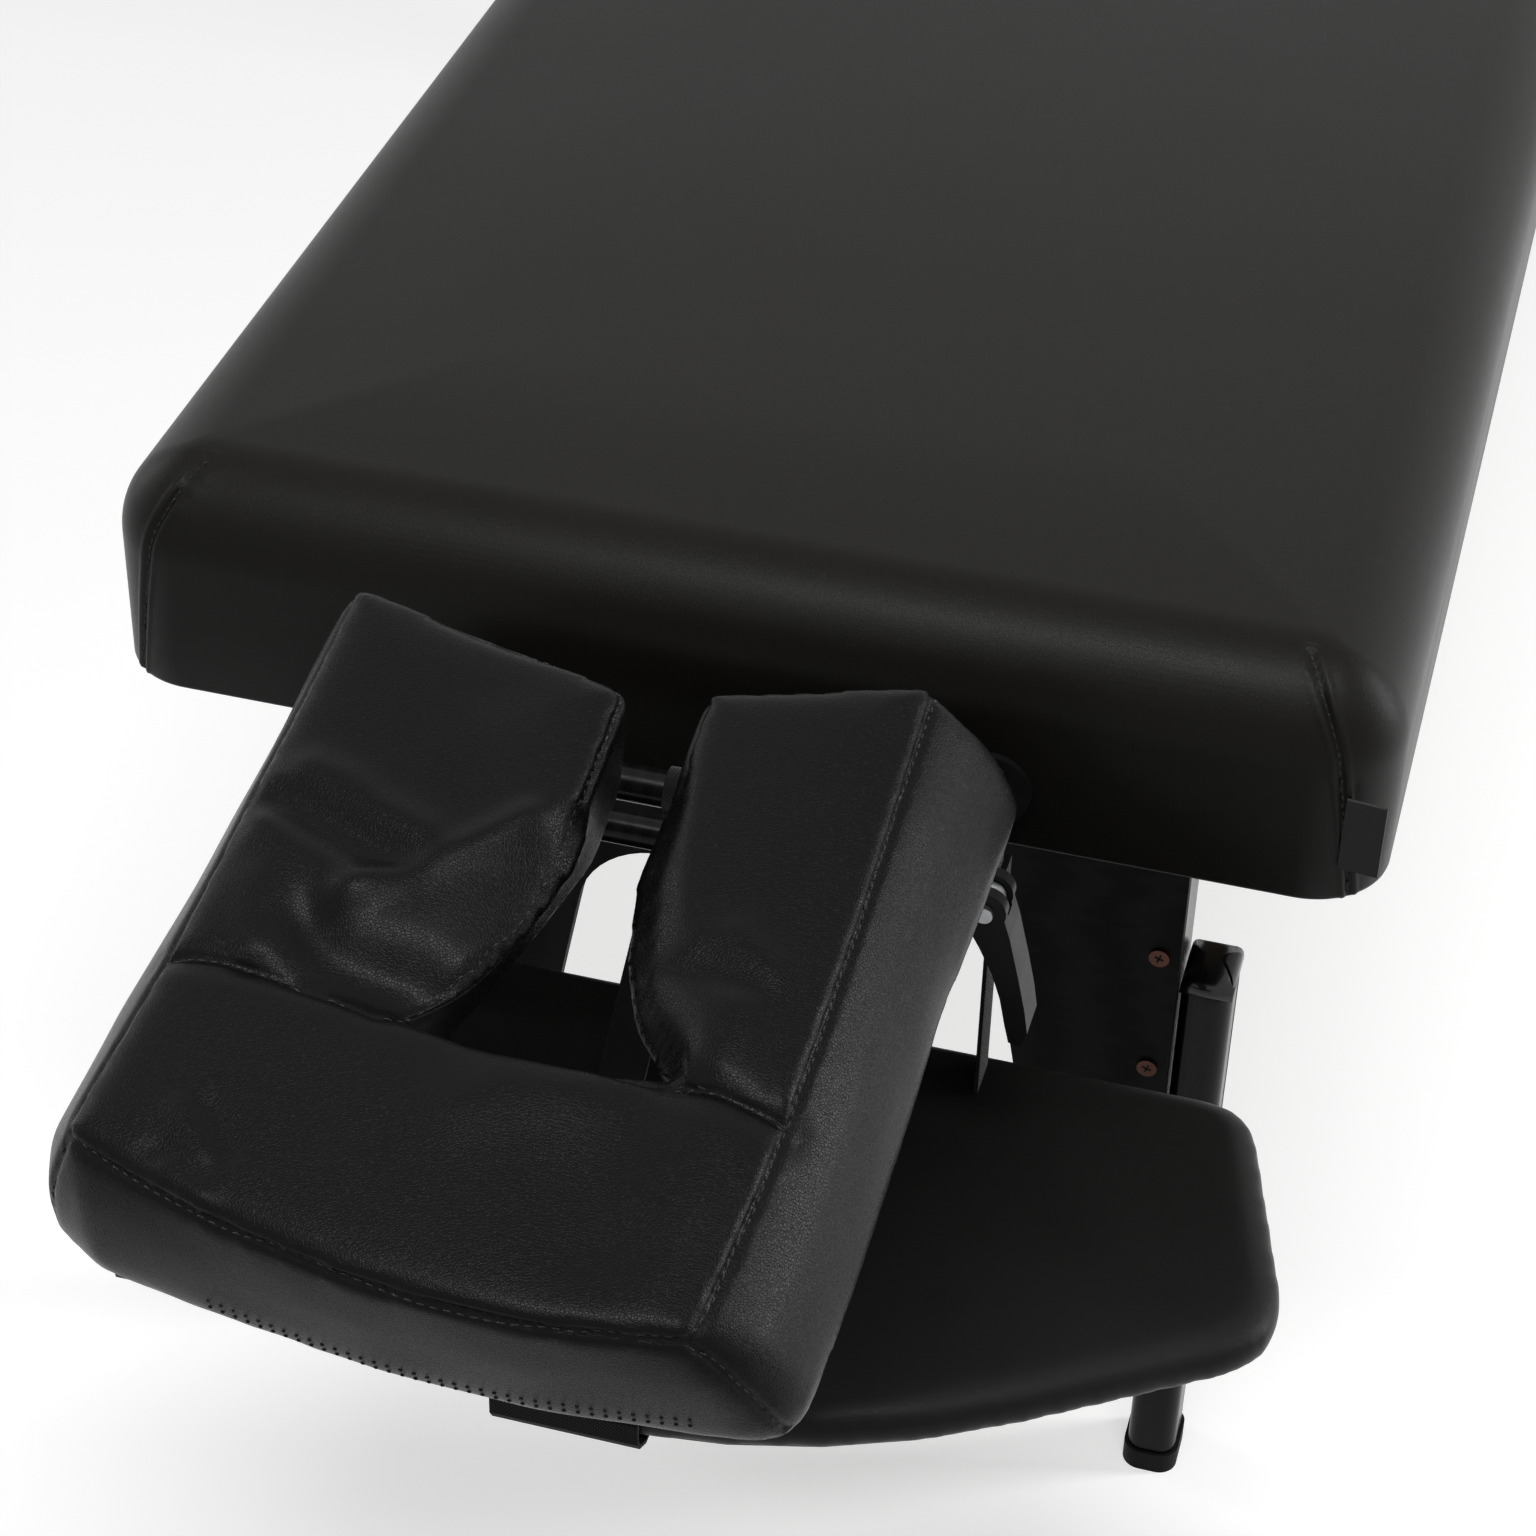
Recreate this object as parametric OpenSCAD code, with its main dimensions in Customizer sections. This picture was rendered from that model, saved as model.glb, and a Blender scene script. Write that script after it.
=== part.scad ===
// Folding treatment table with a face cradle and a hanging arm shelf.
// Modelled in the table's own frame: X across, Y from the head end to the foot end, Z up from the
// padded top. The last section stands every piece on the floor.

/* [Table] */
// Width of the padded top
table_w = 635; // [600:1:680]
// Length of one folding half, end to hinge line
half_l = 926; // [900:1:960]
// Height of the padded top above the floor
table_h = 685; // [670:1:700]
// Thickness of the foam pad
pad_t = 50; // [48:1:60]
// Height of pad and frame together
body_h = 122; // [120:1:130]
// Thickness of the plywood deck
deck_t = 6; // [4:1:7]
// Thickness of the padded apron below the pad
skirt_t = 6; // [4:1:8]
// Rounding of the pad's long edges, seen from the end
edge_r = 48; // [40:1:48]
// Rounding of the pad's edge at the centre fold
fold_edge_r = 20; // [10:1:30]
// Rounding of the end corners, seen from above
corner_r = 40; // [34:1:46]
// How far the pad stands up in its middle
crown_h = 3; // [1:0.5:5]
// Gap between the two pads at the fold
fold_gap = 0.8; // [0.6:0.1:2]

/* [Frame] */
// Thickness of the long rails
rail_t = 18; // [14:1:22]
// Thickness of the end rail
end_rail_t = 20; // [16:1:24]
// Depth of the block glued behind each cradle socket
block_l = 36; // [30:1:40]
// Width of the block glued behind each cradle socket
block_w = 60; // [50:1:66]
// Gap left between the frame and the apron
fit_gap = 0.2; // [0.1:0.05:0.4]

/* [Hinge] */
// Drop of the hinge axis below the frame
hinge_drop = 0.3; // [0.2:0.1:0.6]
// Thickness of a hinge leaf
leaf_t = 1.5; // [1:0.1:2]
// Height of a hinge leaf above its axis
leaf_h = 27; // [20:1:34]
// Distance from the middle to the hinge's inner end
hinge_x = 60; // [40:1:80]
// Length of one knuckle
knuckle_l = 40; // [30:1:42]
// Radius of a knuckle
knuckle_r = 5; // [4.5:0.1:5.5]
// Radius of the hinge pin
hinge_pin_r = 2; // [1.5:0.1:2.5]
// Gap between neighbouring knuckles
knuckle_gap = 0.4; // [0.2:0.1:1]
// Radial gap of every running fit
run_gap = 0.05; // [0.02:0.01:0.08]

/* [Legs] */
// Distance of the leg pivot from the table's end
pivot_y = 167; // [160:1:180]
// Drop of the leg pivot below the padded top
pivot_drop = 86; // [84:1:88]
// Radius of the leg pivot pin
pin_r = 5; // [4:0.5:6]
// Inner face of the upper leg, from the middle
leg_in = 178; // [172:1:180]
// Thickness of the upper leg across the table
leg_t = 36; // [30:1:36]
// Depth of the upper leg along the table
leg_d = 36; // [32:1:36]
// Drop of the upper leg's lower end below the padded top
leg_end = 480; // [474:1:490]
// Side play between a leg and its bracket or neighbour
leg_gap = 0.6; // [0.5:0.1:1.5]
// Thickness of the bracket's sheet steel
ear_t = 3; // [2:0.5:3]
// Radius of the bracket's ears
ear_r = 16; // [14:1:18]
// Thickness of the end panel
panel_t = 9; // [6:1:12]
// Drop of the panel's top edge
panel_top = 100; // [98:1:110]
// Drop of the panel's lower edge
panel_low = 470; // [460:1:472]
// Drop of the arch's top
arch_top = 287; // [280:1:300]
// Half width of the arch at the panel's lower edge
arch_low_w = 146; // [138:1:150]
// Half width of the arch at its top
arch_top_w = 111; // [100:1:120]
// Rounding of the arch's upper corners
arch_r = 50; // [40:1:60]
// Depth of the cross bar between the legs
bar_d = 18; // [14:1:22]
// Height of the cross bar between the legs
bar_h = 40; // [30:1:44]
// Drop of the cross bar's top
bar_top = 130; // [124:1:140]
// Radius of the panel screw's head
screw_r = 5.5; // [4:0.5:6]
// Radius of the panel screw's shank
shank_r = 2; // [1.5:0.1:2.5]
// Length of the panel screw's shank
shank_l = 22; // [18:1:24]
// Distance between two panel screws
screw_step = 78; // [70:1:80]
// Drop of the panel screw nearest the top
screw_top = 135; // [130:1:140]

/* [Lower legs] */
// Thickness of the lower leg across the table
lower_t = 28; // [26:0.5:32]
// Depth of the head end's lower legs
lower_d = 38; // [34:1:38]
// Depth of the foot end's lower legs, which pass behind the panel
inner_d = 34; // [30:1:34]
// Rounding of the lower leg's long edges
lower_r = 9; // [6:1:10]
// Drop of the lower leg's rounded top
lower_top = 302; // [298:1:306]
// Height of the rubber foot
foot_h = 14; // [10:1:18]
// How far the rubber foot stands out beyond the leg
foot_out = 2; // [1:0.5:2]
// Drop of the clamp bolt
bolt_drop = 430; // [426:1:434]
// Drop of the guide pin
guide_drop = 462; // [458:1:464]
// Radius of the clamp bolt
bolt_r = 4; // [3:0.5:4]
// Radius of the guide pin
guide_r = 3; // [2:0.5:3]
// How far the lower leg can be pushed up
slide_up = 70; // [60:1:74]
// How far the lower leg can be pulled down
slide_down = 110; // [100:1:112]
// Side play of the bolt in the leg's slot
slot_gap = 0.4; // [0.2:0.1:0.6]
// Radius of the clamp knob's middle
knob_r = 13; // [12:0.5:14]
// Radius of one lobe of the clamp knob
lobe_r = 5; // [4:0.5:5.5]
// Thickness of the clamp knob
knob_t = 18; // [14:1:20]
// Length of the clamp knob's neck
neck_l = 7; // [5:1:8]

/* [Cradle] */
// Distance of each cradle post from the middle
post_x = 131; // [126:1:134]
// Drop of the posts below the padded top
post_drop = 89; // [88:1:92]
// Radius of a post
post_r = 11; // [9:0.5:11]
// Length of a post inside its socket
post_in = 60; // [50:1:60]
// Distance of the clamp bolt from the table's end
clamp_y = 80; // [76:1:84]
// Drop of the clamp bolt below the padded top
clamp_drop = 89; // [88:0.5:92]
// Radius of the lug at the post's end
lug_r = 16; // [14:1:17]
// Thickness of the lug
lug_t = 17; // [14:1:18]
// Radius of the cross bar between the posts
tie_r = 9; // [7:0.5:9]
// Distance of the cross bar from the table's end
tie_y = 47; // [44:1:50]
// Outer radius of the socket's flange
flange_r = 20; // [18:1:22]
// Thickness of the socket's flange
flange_t = 4; // [3:0.5:5]
// Outer radius of the socket's tube
socket_r = 14; // [13:0.5:14.5]
// Length of the socket's tube
socket_l = 62; // [61:1:64]
// Radial gap between a post and its socket
socket_gap = 0.1; // [0.05:0.01:0.1]
// Outer face of each arm, from the middle
arm_out = 118; // [114:1:118]
// Thickness of an arm
arm_t = 14; // [10:1:14]
// Radius of an arm's clamped end
arm_r = 14; // [12:0.5:15]
// Distance of the platform pivot from the table's end
tilt_y = 181; // [176:1:186]
// Drop of the platform pivot below the padded top
tilt_drop = 38; // [36:1:40]
// Outer radius of the spacer tube between the arms
spacer_r = 8; // [7:0.5:9]
// Distance of the lever's pin from the middle
lever_x = 149; // [147:0.5:150]
// Radius of the lever's rounded cam
cam_r = 10; // [9.5:0.5:10]
// Radius of the lever's pin
lever_pin_r = 2.5; // [2:0.5:3]
// Half depth of the lever
lever_hd = 10.5; // [9.5:0.5:11]
// Length of the lever's handle below its pin
lever_l = 76; // [70:1:80]
// Half thickness of the eye on the clamp bolt
eye_ht = 3.5; // [3:0.5:4]

/* [Face pillow] */
// Distance of the pillow's middle from the table's end
pillow_y = 292; // [290:1:300]
// Height of the pillow's middle above the padded top
pillow_z = 30.3; // [29:0.1:32]
// Sideways offset of the pillow's middle
pillow_x = -3; // [-5:0.5:0]
// Slope of the pillow towards the forehead, degrees
pillow_tilt = 11.46; // [10:0.01:13]
// Thickness of the pillow
pillow_t = 68; // [66:0.5:68]
// Rounding of the pillow's top edge
pillow_r = 3; // [2:0.5:4]
// Half width of the pillow's top
pillow_hw = 133; // [130:0.5:136]
// Half length of the pillow's top
pillow_hl = 178; // [174:1:180]
// Thickness of the platform's plate
plate_t = 9; // [8:0.5:10]
// Half width of the platform's plate
plate_hw = 126; // [126:1:130]
// Thickness of the hook and loop layer
hook_t = 1.7; // [1.2:0.1:2]

/* [Arm shelf] */
// Drop of the shelf's top below the padded top
shelf_drop = 240; // [236:1:250]
// Thickness of the shelf's pad
shelf_pad_t = 24; // [20:1:28]
// Thickness of the shelf's board
shelf_board_t = 6; // [5:0.5:9]
// Half width of the shelf across its tips
shelf_hw = 287; // [280:1:292]
// Depth of the shelf from its back edge to its front point
shelf_d = 279; // [272:1:284]
// Distance of the shelf's back edge from the table's end
shelf_back = 10; // [8:1:14]
// Sideways offset of the shelf
shelf_x = 20; // [16:1:22]
// Width of a hanging strap
strap_w = 22; // [20:1:25]
// Thickness of a strap
strap_t = 2; // [1.5:0.1:2.5]
// Width of the tab round the shelf's front edge
tab_w = 69; // [60:1:72]
// Thickness of a strap's buckle
buckle_t = 3; // [2:0.5:4]

/* [Hidden] */
vinyl = "#24221f";
lacquer = "#131313";
laminate = "#2a2827";
birch = "#b99a6b";
steel = "#8d9094";
black_steel = "#1d1e20";
copper = "#8a4f36";
soft_black = "#17181a";
plastic = "#232426";
webbing = "#1a1a1b";
$fn = 48;
tiny = 0.01;
cut = 1;
half_turn = 180;
quarter_turn = 90;
min_r = 6;
half_w = table_w / 2;
frame_x = half_w - skirt_t - fit_gap;
frame_y = skirt_t + fit_gap;
deck_low = -(pad_t + deck_t);
frame_end = half_l - hinge_drop - leaf_t;
pad_end = half_l - fold_gap / 2;
hinge_z = -(body_h + hinge_drop);
notch_gap = 0.8;
leaf_gap = 0.6;
notch_r = knuckle_r + notch_gap;
leaf_notch_r = knuckle_r + leaf_gap;
knuckles = 5;
pivot_z = -pivot_drop;
leg_out = leg_in + leg_t;
bracket_in = leg_in - leg_gap - ear_t;
bracket_out = leg_out + leg_gap + ear_t;
pin_head_r = 8;
pin_head_t = 3;
leg_front = pivot_y - leg_d / 2;
panel_y = leg_front - panel_t;
screw_inset = 11;
screw_x = leg_out - screw_inset;
screw_rows = 5;
screw_head_t = 2;
lower_x = leg_out + 2 * leg_gap;
leg_lead = 6;
lower_y = leg_front - leg_lead + lower_d / 2;
inner_x = leg_in - 2 * leg_gap - lower_t;
inner_y = leg_front + leg_gap + inner_d / 2;
foot_low = -table_h;
slot_hw = bolt_r + slot_gap / 2;
slot_top = -bolt_drop + slide_down + slot_hw;
slot_low = -guide_drop - slide_up - slot_hw;
bolt_back = 3;
bolt_y = pivot_y + bolt_back;
neck_share = 0.65;
pin_inset = 2;
block_lift = 2;
lobes = 5;
nut_r = 8;
nut_t = 5;
knob_gap = 0.4;
post_z = -post_drop;
clamp_z = -clamp_drop;
post_bite = 2;
lug_x = arm_out + fit_gap;
washer_t = lever_x - cam_r - lug_x - lug_t - fit_gap / 2;
washer_r = 11;
bolt_head_r = 9;
bolt_head_t = 8;
eye_r = 7;
lever_slot_gap = 0.3;
lever_slot = max(eye_ht, bolt_r) + lever_slot_gap;
pin_rim = 1.8;
pin_out = 1;
pin_cap = 3;
tilt_z = -tilt_drop;
arm_end_r = 9;
arm_round_share = 0.9;
arc_steps = 8;
pivot_pin_r = 4;
pivot_head_r = 7;
plate_lug_r = 12;
hook_inset = 10;
board_inset = 12;
lug_plate_t = plate_hw - lug_x;
pad_gap = 0.3;
seam_gap = 0.4;

// Vector helpers for rounded outlines
function unit(v) = v / norm(v);
function left_of(v) = [-v[1], v[0]];
function turned(v, a) = [v[0] * cos(a) - v[1] * sin(a), v[0] * sin(a) + v[1] * cos(a)];
function corner_arc(a, b, c, r, inset, n) = let(
    d1 = unit(b - a), d2 = unit(c - b), n1 = left_of(d1), n2 = left_of(d2),
    v = b + (n1 + n2) * inset / (1 + n1 * n2),
    turn = acos(max(-1, min(1, d1 * d2))), side = cross(d1, d2) > 0 ? 1 : -1,
    rr = side > 0 ? max(r - inset, min_r) : r + inset,
    start = v - d1 * rr * tan(turn / 2), centre = start + n1 * rr * side)
  [for (k = [0:n]) centre + turned(start - centre, side * turn * k / n)];
// Counter-clockwise outline with rounded corners, moved inwards by inset
function outline(pts, radii, inset, n) = let(m = len(pts))
  [for (i = [0:m - 1]) each corner_arc(pts[(i + m - 1) % m], pts[i], pts[(i + 1) % m],
    radii[i], inset, n)];

// Solid through a stack of counter-clockwise rings with equal, even point counts. Each cap is a
// strip between the first half of its ring and the second half, so a ring may bend like a U.
module ring_solid(rings) {
  m = len(rings[0]);
  top = (len(rings) - 1) * m;
  strips = [for (i = [0:m / 2 - 2]) [i, i + 1, m - 2 - i, m - 1 - i]];
  faces = concat([for (f = strips, k = [1, 2]) [f[0], f[k], f[k + 1]]],
    [for (f = strips, k = [1, 2]) [top + f[0], top + f[k + 1], top + f[k]]],
    [for (j = [0:len(rings) - 2], i = [0:m - 1], k = [0, 1])
      let(p = j * m + i, q = j * m + (i + 1) % m) k == 0 ? [p, p + m, q + m] : [p, q + m, q]]);
  polyhedron(points = [for (ring = rings) each ring], faces = faces, convexity = 8);
}
module box(x, y, z) translate([x[0], y[0], z[0]]) cube([x[1] - x[0], y[1] - y[0], z[1] - z[0]]);
module rod_x(r, x, y, z) translate([x[0], y, z]) rotate([0, quarter_turn, 0])
  cylinder(h = x[1] - x[0], r = r);
module rod_y(r, x, y, z) translate([x, y[0], z]) rotate([-quarter_turn, 0, 0])
  cylinder(h = y[1] - y[0], r = r);
module both_sides() { children(); mirror([1, 0, 0]) children(); }
module foot_end() translate([0, 2 * half_l, 0]) mirror([0, 1, 0]) children();
module plan(inset, z) translate([0, 0, z[0]]) linear_extrude(z[1] - z[0])
  polygon(plan_points(inset, inset));
function plan_points(side, fold) = let(x = half_w - side, y = half_l - fold,
    r = max(corner_r - side, min_r))
  outline([[-x, side], [x, side], [x, y], [-x, y]], [r, r, min_r, min_r], 0, end_steps);

// Padded top of one half
pad_steps = [0, 15, 30, 45, 60, 75, 90];
crown_shares = [0.4, 0.8, 1];
crown_side_shares = [0.2, 0.42, 0.68];
crown_run = 3;
fold_run = 2;
end_steps = 6;
arch_steps = 10;
module cushion() ring_solid(concat(
  [[for (p = plan_points(0, fold_gap / 2)) [p[0], p[1], -pad_t]]],
  [for (a = pad_steps) let(s = edge_r * (1 - cos(a)), f = fold_gap / 2 + fold_edge_r * (1 - cos(a)))
    [for (p = plan_points(s, f)) [p[0], p[1], (edge_r - tiny) * (sin(a) - 1)]]],
  [for (k = [0:2]) let(s = edge_r + crown_side_shares[k] * edge_r * crown_run,
      f = fold_edge_r + crown_side_shares[k] * edge_r * fold_run)
    [for (p = plan_points(s, f)) [p[0], p[1], crown_shares[k] * crown_h]]]));
module skirt() difference() {
  plan(0, [-body_h, -pad_t]);
  translate([0, 0, -body_h - cut]) linear_extrude(body_h)
    polygon(plan_points(skirt_t, -skirt_t));
  box([-half_w, half_w], [pad_end, half_l + cut], [-body_h - cut, 0]);
  both_sides() rod_y(socket_r + fit_gap, post_x, [-cut, skirt_t + cut], post_z);
}
module deck() difference() {
  plan(skirt_t + fit_gap, [deck_low, -pad_t]);
  box([-half_w, half_w], [frame_end, half_l + cut], [deck_low - cut, 0]);
}
module side_rails() intersection() {
  plan(skirt_t + fit_gap, [-body_h, deck_low]);
  both_sides() box([frame_x - rail_t, frame_x], [frame_y + end_rail_t, frame_end],
    [-body_h, deck_low]);
}
module cross_rails() difference() {
  union() {
    intersection() {
      plan(skirt_t + fit_gap, [-body_h, deck_low]);
      box([-frame_x, frame_x], [frame_y, frame_y + end_rail_t], [-body_h, deck_low]);
    }
    box([rail_t - frame_x, frame_x - rail_t], [frame_end - rail_t, frame_end],
      [-body_h, deck_low]);
    both_sides() box([post_x - block_w / 2, post_x + block_w / 2],
      [frame_y + end_rail_t, frame_y + end_rail_t + block_l], [-body_h + block_lift, deck_low]);
  }
  both_sides() rod_y(socket_r + fit_gap / 2, post_x, [0, socket_l + cut], post_z);
  both_sides() rod_x(notch_r, [hinge_x - cut, hinge_x + knuckles * knuckle_l + cut], half_l,
    hinge_z);
}
module sockets() both_sides() difference() {
  union() {
    rod_y(flange_r, post_x, [-flange_t, 0], post_z);
    rod_y(socket_r, post_x, [-flange_t, socket_l], post_z);
  }
  rod_y(post_r + socket_gap, post_x, [-flange_t - cut, socket_l + cut], post_z);
}
module leg_brackets() both_sides() difference() {
  union() {
    for (x = [bracket_in, bracket_out - ear_t]) {
      box([x, x + ear_t], [pivot_y - ear_r, pivot_y + ear_r], [pivot_z, deck_low]);
      rod_x(ear_r, [x, x + ear_t], pivot_y, pivot_z);
    }
    box([bracket_in, bracket_out], [pivot_y - ear_r, pivot_y + ear_r],
      [deck_low - ear_t, deck_low]);
  }
  rod_x(pin_r + run_gap, [bracket_in - cut, bracket_out + cut], pivot_y, pivot_z);
}
module pivot_pins() both_sides() {
  rod_x(pin_r, [bracket_in - pin_head_t, bracket_out], pivot_y, pivot_z);
  rod_x(pin_head_r, [bracket_out, bracket_out + pin_head_t], pivot_y, pivot_z);
}
module knuckle(i, r, gap) rod_x(r, [hinge_x + i * knuckle_l + gap / 2,
  hinge_x + (i + 1) * knuckle_l - gap / 2], half_l, hinge_z);
module leaves(own, other) both_sides() difference() {
  union() {
    box([hinge_x + knuckle_gap, hinge_x + knuckles * knuckle_l - knuckle_gap],
      [frame_end, frame_end + leaf_t], [hinge_z + knuckle_r / 2, hinge_z + leaf_h]);
    for (i = own) knuckle(i, knuckle_r, knuckle_gap);
  }
  for (i = other) knuckle(i, leaf_notch_r, -knuckle_gap);
  rod_x(hinge_pin_r + run_gap, [hinge_x - cut, hinge_x + knuckles * knuckle_l + cut], half_l,
    hinge_z);
}
module hinge_rods() both_sides() rod_x(hinge_pin_r,
  [hinge_x - knuckle_gap, hinge_x + knuckles * knuckle_l + knuckle_gap], half_l, hinge_z);

// Leg frame of one half
module upper_legs() both_sides() difference() {
  union() {
    box([leg_in, leg_out], [leg_front, leg_front + leg_d], [-leg_end, pivot_z]);
    rod_x(leg_d / 2, [leg_in, leg_out], pivot_y, pivot_z);
  }
  rod_x(pin_r + run_gap, [leg_in - cut, leg_out + cut], pivot_y, pivot_z);
  rod_x(bolt_r + run_gap, [leg_in - cut, leg_out + cut], bolt_y, -bolt_drop);
  rod_x(guide_r + run_gap, [leg_in - cut, leg_out + cut], bolt_y, -guide_drop);
  for (i = [0:screw_rows - 1]) rod_y(shank_r + run_gap, screw_x,
    [leg_front - cut, leg_front + shank_l], -screw_top - i * screw_step);
}
module end_panel() difference() {
  translate([0, panel_y + panel_t, 0]) rotate([quarter_turn, 0, 0]) linear_extrude(panel_t)
    difference() {
      polygon([[-leg_out, -panel_low], [leg_out, -panel_low], [leg_out, -panel_top],
        [-leg_out, -panel_top]]);
      polygon(outline([[-arch_low_w, -panel_low - cut], [arch_low_w, -panel_low - cut],
        [arch_top_w, -arch_top], [-arch_top_w, -arch_top]], [tiny, tiny, arch_r, arch_r], 0,
        arch_steps));
    }
  both_sides() for (i = [0:screw_rows - 1]) rod_y(shank_r + run_gap, screw_x,
    [panel_y - cut, panel_y + panel_t + cut], -screw_top - i * screw_step);
}
module leg_bar() box([-leg_in, leg_in], [leg_front, leg_front + bar_d],
  [-bar_top - bar_h, -bar_top]);
module panel_screws() both_sides() for (i = [0:screw_rows - 1]) {
  rod_y(screw_r, screw_x, [panel_y - screw_head_t, panel_y], -screw_top - i * screw_step);
  rod_y(shank_r, screw_x, [panel_y - screw_head_t, panel_y + shank_l],
    -screw_top - i * screw_step);
}
module lower_leg(x, y, d) difference() {
  intersection() {
    union() {
      box([x + lower_r, x + lower_t - lower_r], [y - d / 2, y + d / 2],
        [foot_low + foot_h, -lower_top]);
      box([x, x + lower_t], [y - d / 2 + lower_r, y + d / 2 - lower_r],
        [foot_low + foot_h, -lower_top]);
      for (px = [x + lower_r, x + lower_t - lower_r], py = [lower_r - d / 2, d / 2 - lower_r])
        translate([px, y + py, foot_low + foot_h])
          cylinder(h = table_h - foot_h - lower_top, r = lower_r);
    }
    union() {
      box([x - cut, x + lower_t + cut], [y - d, y + d], [foot_low, -lower_top - d / 2]);
      rod_x(d / 2, [x - cut, x + lower_t + cut], y, -lower_top - d / 2);
    }
    union() {
      box([x - cut, x + lower_t + cut], [y - d, y + d], [foot_low, -lower_top - lower_r]);
      box([x + lower_r, x + lower_t - lower_r], [y - d, y + d], [foot_low, -lower_top]);
      for (px = [x + lower_r, x + lower_t - lower_r]) rod_y(lower_r, px, [y - d, y + d],
        -lower_top - lower_r);
    }
  }
  box([x - cut, x + lower_t + cut], [bolt_y - slot_hw, bolt_y + slot_hw],
    [slot_low + slot_hw, slot_top - slot_hw]);
  for (z = [slot_low + slot_hw, slot_top - slot_hw])
    rod_x(slot_hw, [x - cut, x + lower_t + cut], bolt_y, z);
}
module foot_cap(x, y, d) {
  o = foot_out;
  r = lower_r + foot_out;
  box([x - o + r, x + lower_t + o - r], [y - d / 2 - o, y + d / 2 + o],
    [foot_low, foot_low + foot_h]);
  box([x - o, x + lower_t + o], [y - d / 2 - o + r, y + d / 2 + o - r],
    [foot_low, foot_low + foot_h]);
  for (px = [x + lower_r, x + lower_t - lower_r], py = [lower_r - d / 2, d / 2 - lower_r])
    translate([px, y + py, foot_low]) cylinder(h = foot_h, r = r);
}
// Knob on one face of the leg frame, its bolt going through to a nut on the far face
module knob(face, far) {
  reach = abs(far - face) + nut_t;
  grip = knob_gap + neck_l;
  translate([face, 0, 0]) mirror([face < far ? 1 : 0, 0, 0]) {
    rod_x(bolt_r, [-reach, grip], bolt_y, -bolt_drop);
    rod_x(nut_r, [-reach, knob_gap - reach + nut_t - 2 * knob_gap], bolt_y, -bolt_drop);
    rod_x(knob_r * neck_share, [knob_gap, grip], bolt_y, -bolt_drop);
    rod_x(knob_r, [grip, grip + knob_t], bolt_y, -bolt_drop);
    for (i = [0:lobes - 1]) rod_x(lobe_r, [grip, grip + knob_t],
      bolt_y + knob_r * sin(2 * half_turn * i / lobes),
      -bolt_drop + knob_r * cos(2 * half_turn * i / lobes));
  }
}
module outer_knob() knob(leg_in, lower_x + lower_t);
module inner_knob() knob(leg_out, inner_x);
module outer_guides() both_sides() rod_x(guide_r, [leg_in + pin_inset, lower_x + lower_t - pin_inset],
  bolt_y,
  -guide_drop);
module inner_guides() both_sides() rod_x(guide_r, [inner_x + pin_inset, leg_out - pin_inset], bolt_y,
  -guide_drop);
tag_l = 19;
tag_h = 40;
tag_t = 1.6;
tag_turn = -6;
tag_angle = -64;
module side_tag() translate([half_w - corner_r, corner_r, -body_h / 2])
  translate([(corner_r + tag_t) * cos(tag_angle), (corner_r + tag_t) * sin(tag_angle), -tag_h])
  rotate([0, 0, tag_turn]) cube([tag_l, tag_t, tag_h]);

// Cradle that carries the face pillow
module posts() both_sides() difference() {
  union() {
    rod_y(post_r, post_x, [-clamp_y + lug_r - post_bite, post_in], post_z);
    rod_x(lug_r, [lug_x, lug_x + lug_t], -clamp_y, clamp_z);
  }
  rod_x(bolt_r + run_gap, [0, half_w], -clamp_y, clamp_z);
}
module tie_bar() difference() {
  rod_x(tie_r, [-post_x, post_x], -tie_y, post_z);
  both_sides() rod_y(post_r, post_x, [-clamp_y, 0], post_z);
}
module clamp_rod() difference() {
  union() {
    rod_x(bolt_r, [-lug_x - lug_t - fit_gap, lever_x], -clamp_y, clamp_z);
    rod_x(bolt_head_r, [-lug_x - lug_t - bolt_head_t, -lug_x - lug_t], -clamp_y, clamp_z);
    rod_y(eye_r, lever_x, [-clamp_y - eye_ht, -clamp_y + eye_ht], clamp_z);
  }
  rod_y(lever_pin_r + run_gap, lever_x, [-clamp_y - eye_ht - cut, -clamp_y + eye_ht + cut],
    clamp_z);
}
module washer() difference() {
  rod_x(washer_r, [lug_x + lug_t, lug_x + lug_t + washer_t], -clamp_y, clamp_z);
  rod_x(bolt_r + run_gap, [0, half_w], -clamp_y, clamp_z);
}
// Side view of the lever's handle as shares of its length, measured from its pin
lever_shares = [[0.072, 0.112], [0.118, -0.026], [0.164, -0.171], [0.237, -0.474], [0.289, -0.711],
  [0.316, -0.882], [0.276, -1], [0.204, -0.98], [0.171, -0.842], [0.132, -0.651], [0.072, -0.467],
  [-0.013, -0.289], [-0.092, -0.145], [-0.125, -0.053], [-0.053, 0.066]];
module lever() difference() {
  union() {
    rod_y(cam_r, lever_x, [-clamp_y - lever_hd, -clamp_y + lever_hd], clamp_z);
    translate([lever_x, lever_hd - clamp_y, clamp_z]) rotate([quarter_turn, 0, 0])
      linear_extrude(2 * lever_hd) polygon([for (i = [len(lever_shares) - 1:-1:0])
        lever_shares[i] * lever_l]);
  }
  rod_y(cam_r + cut, lever_x, [-clamp_y - lever_slot, -clamp_y + lever_slot], clamp_z);
  rod_y(lever_pin_r + run_gap, lever_x, [-clamp_y - lever_hd - cut, -clamp_y + lever_hd + cut],
    clamp_z);
}
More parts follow.
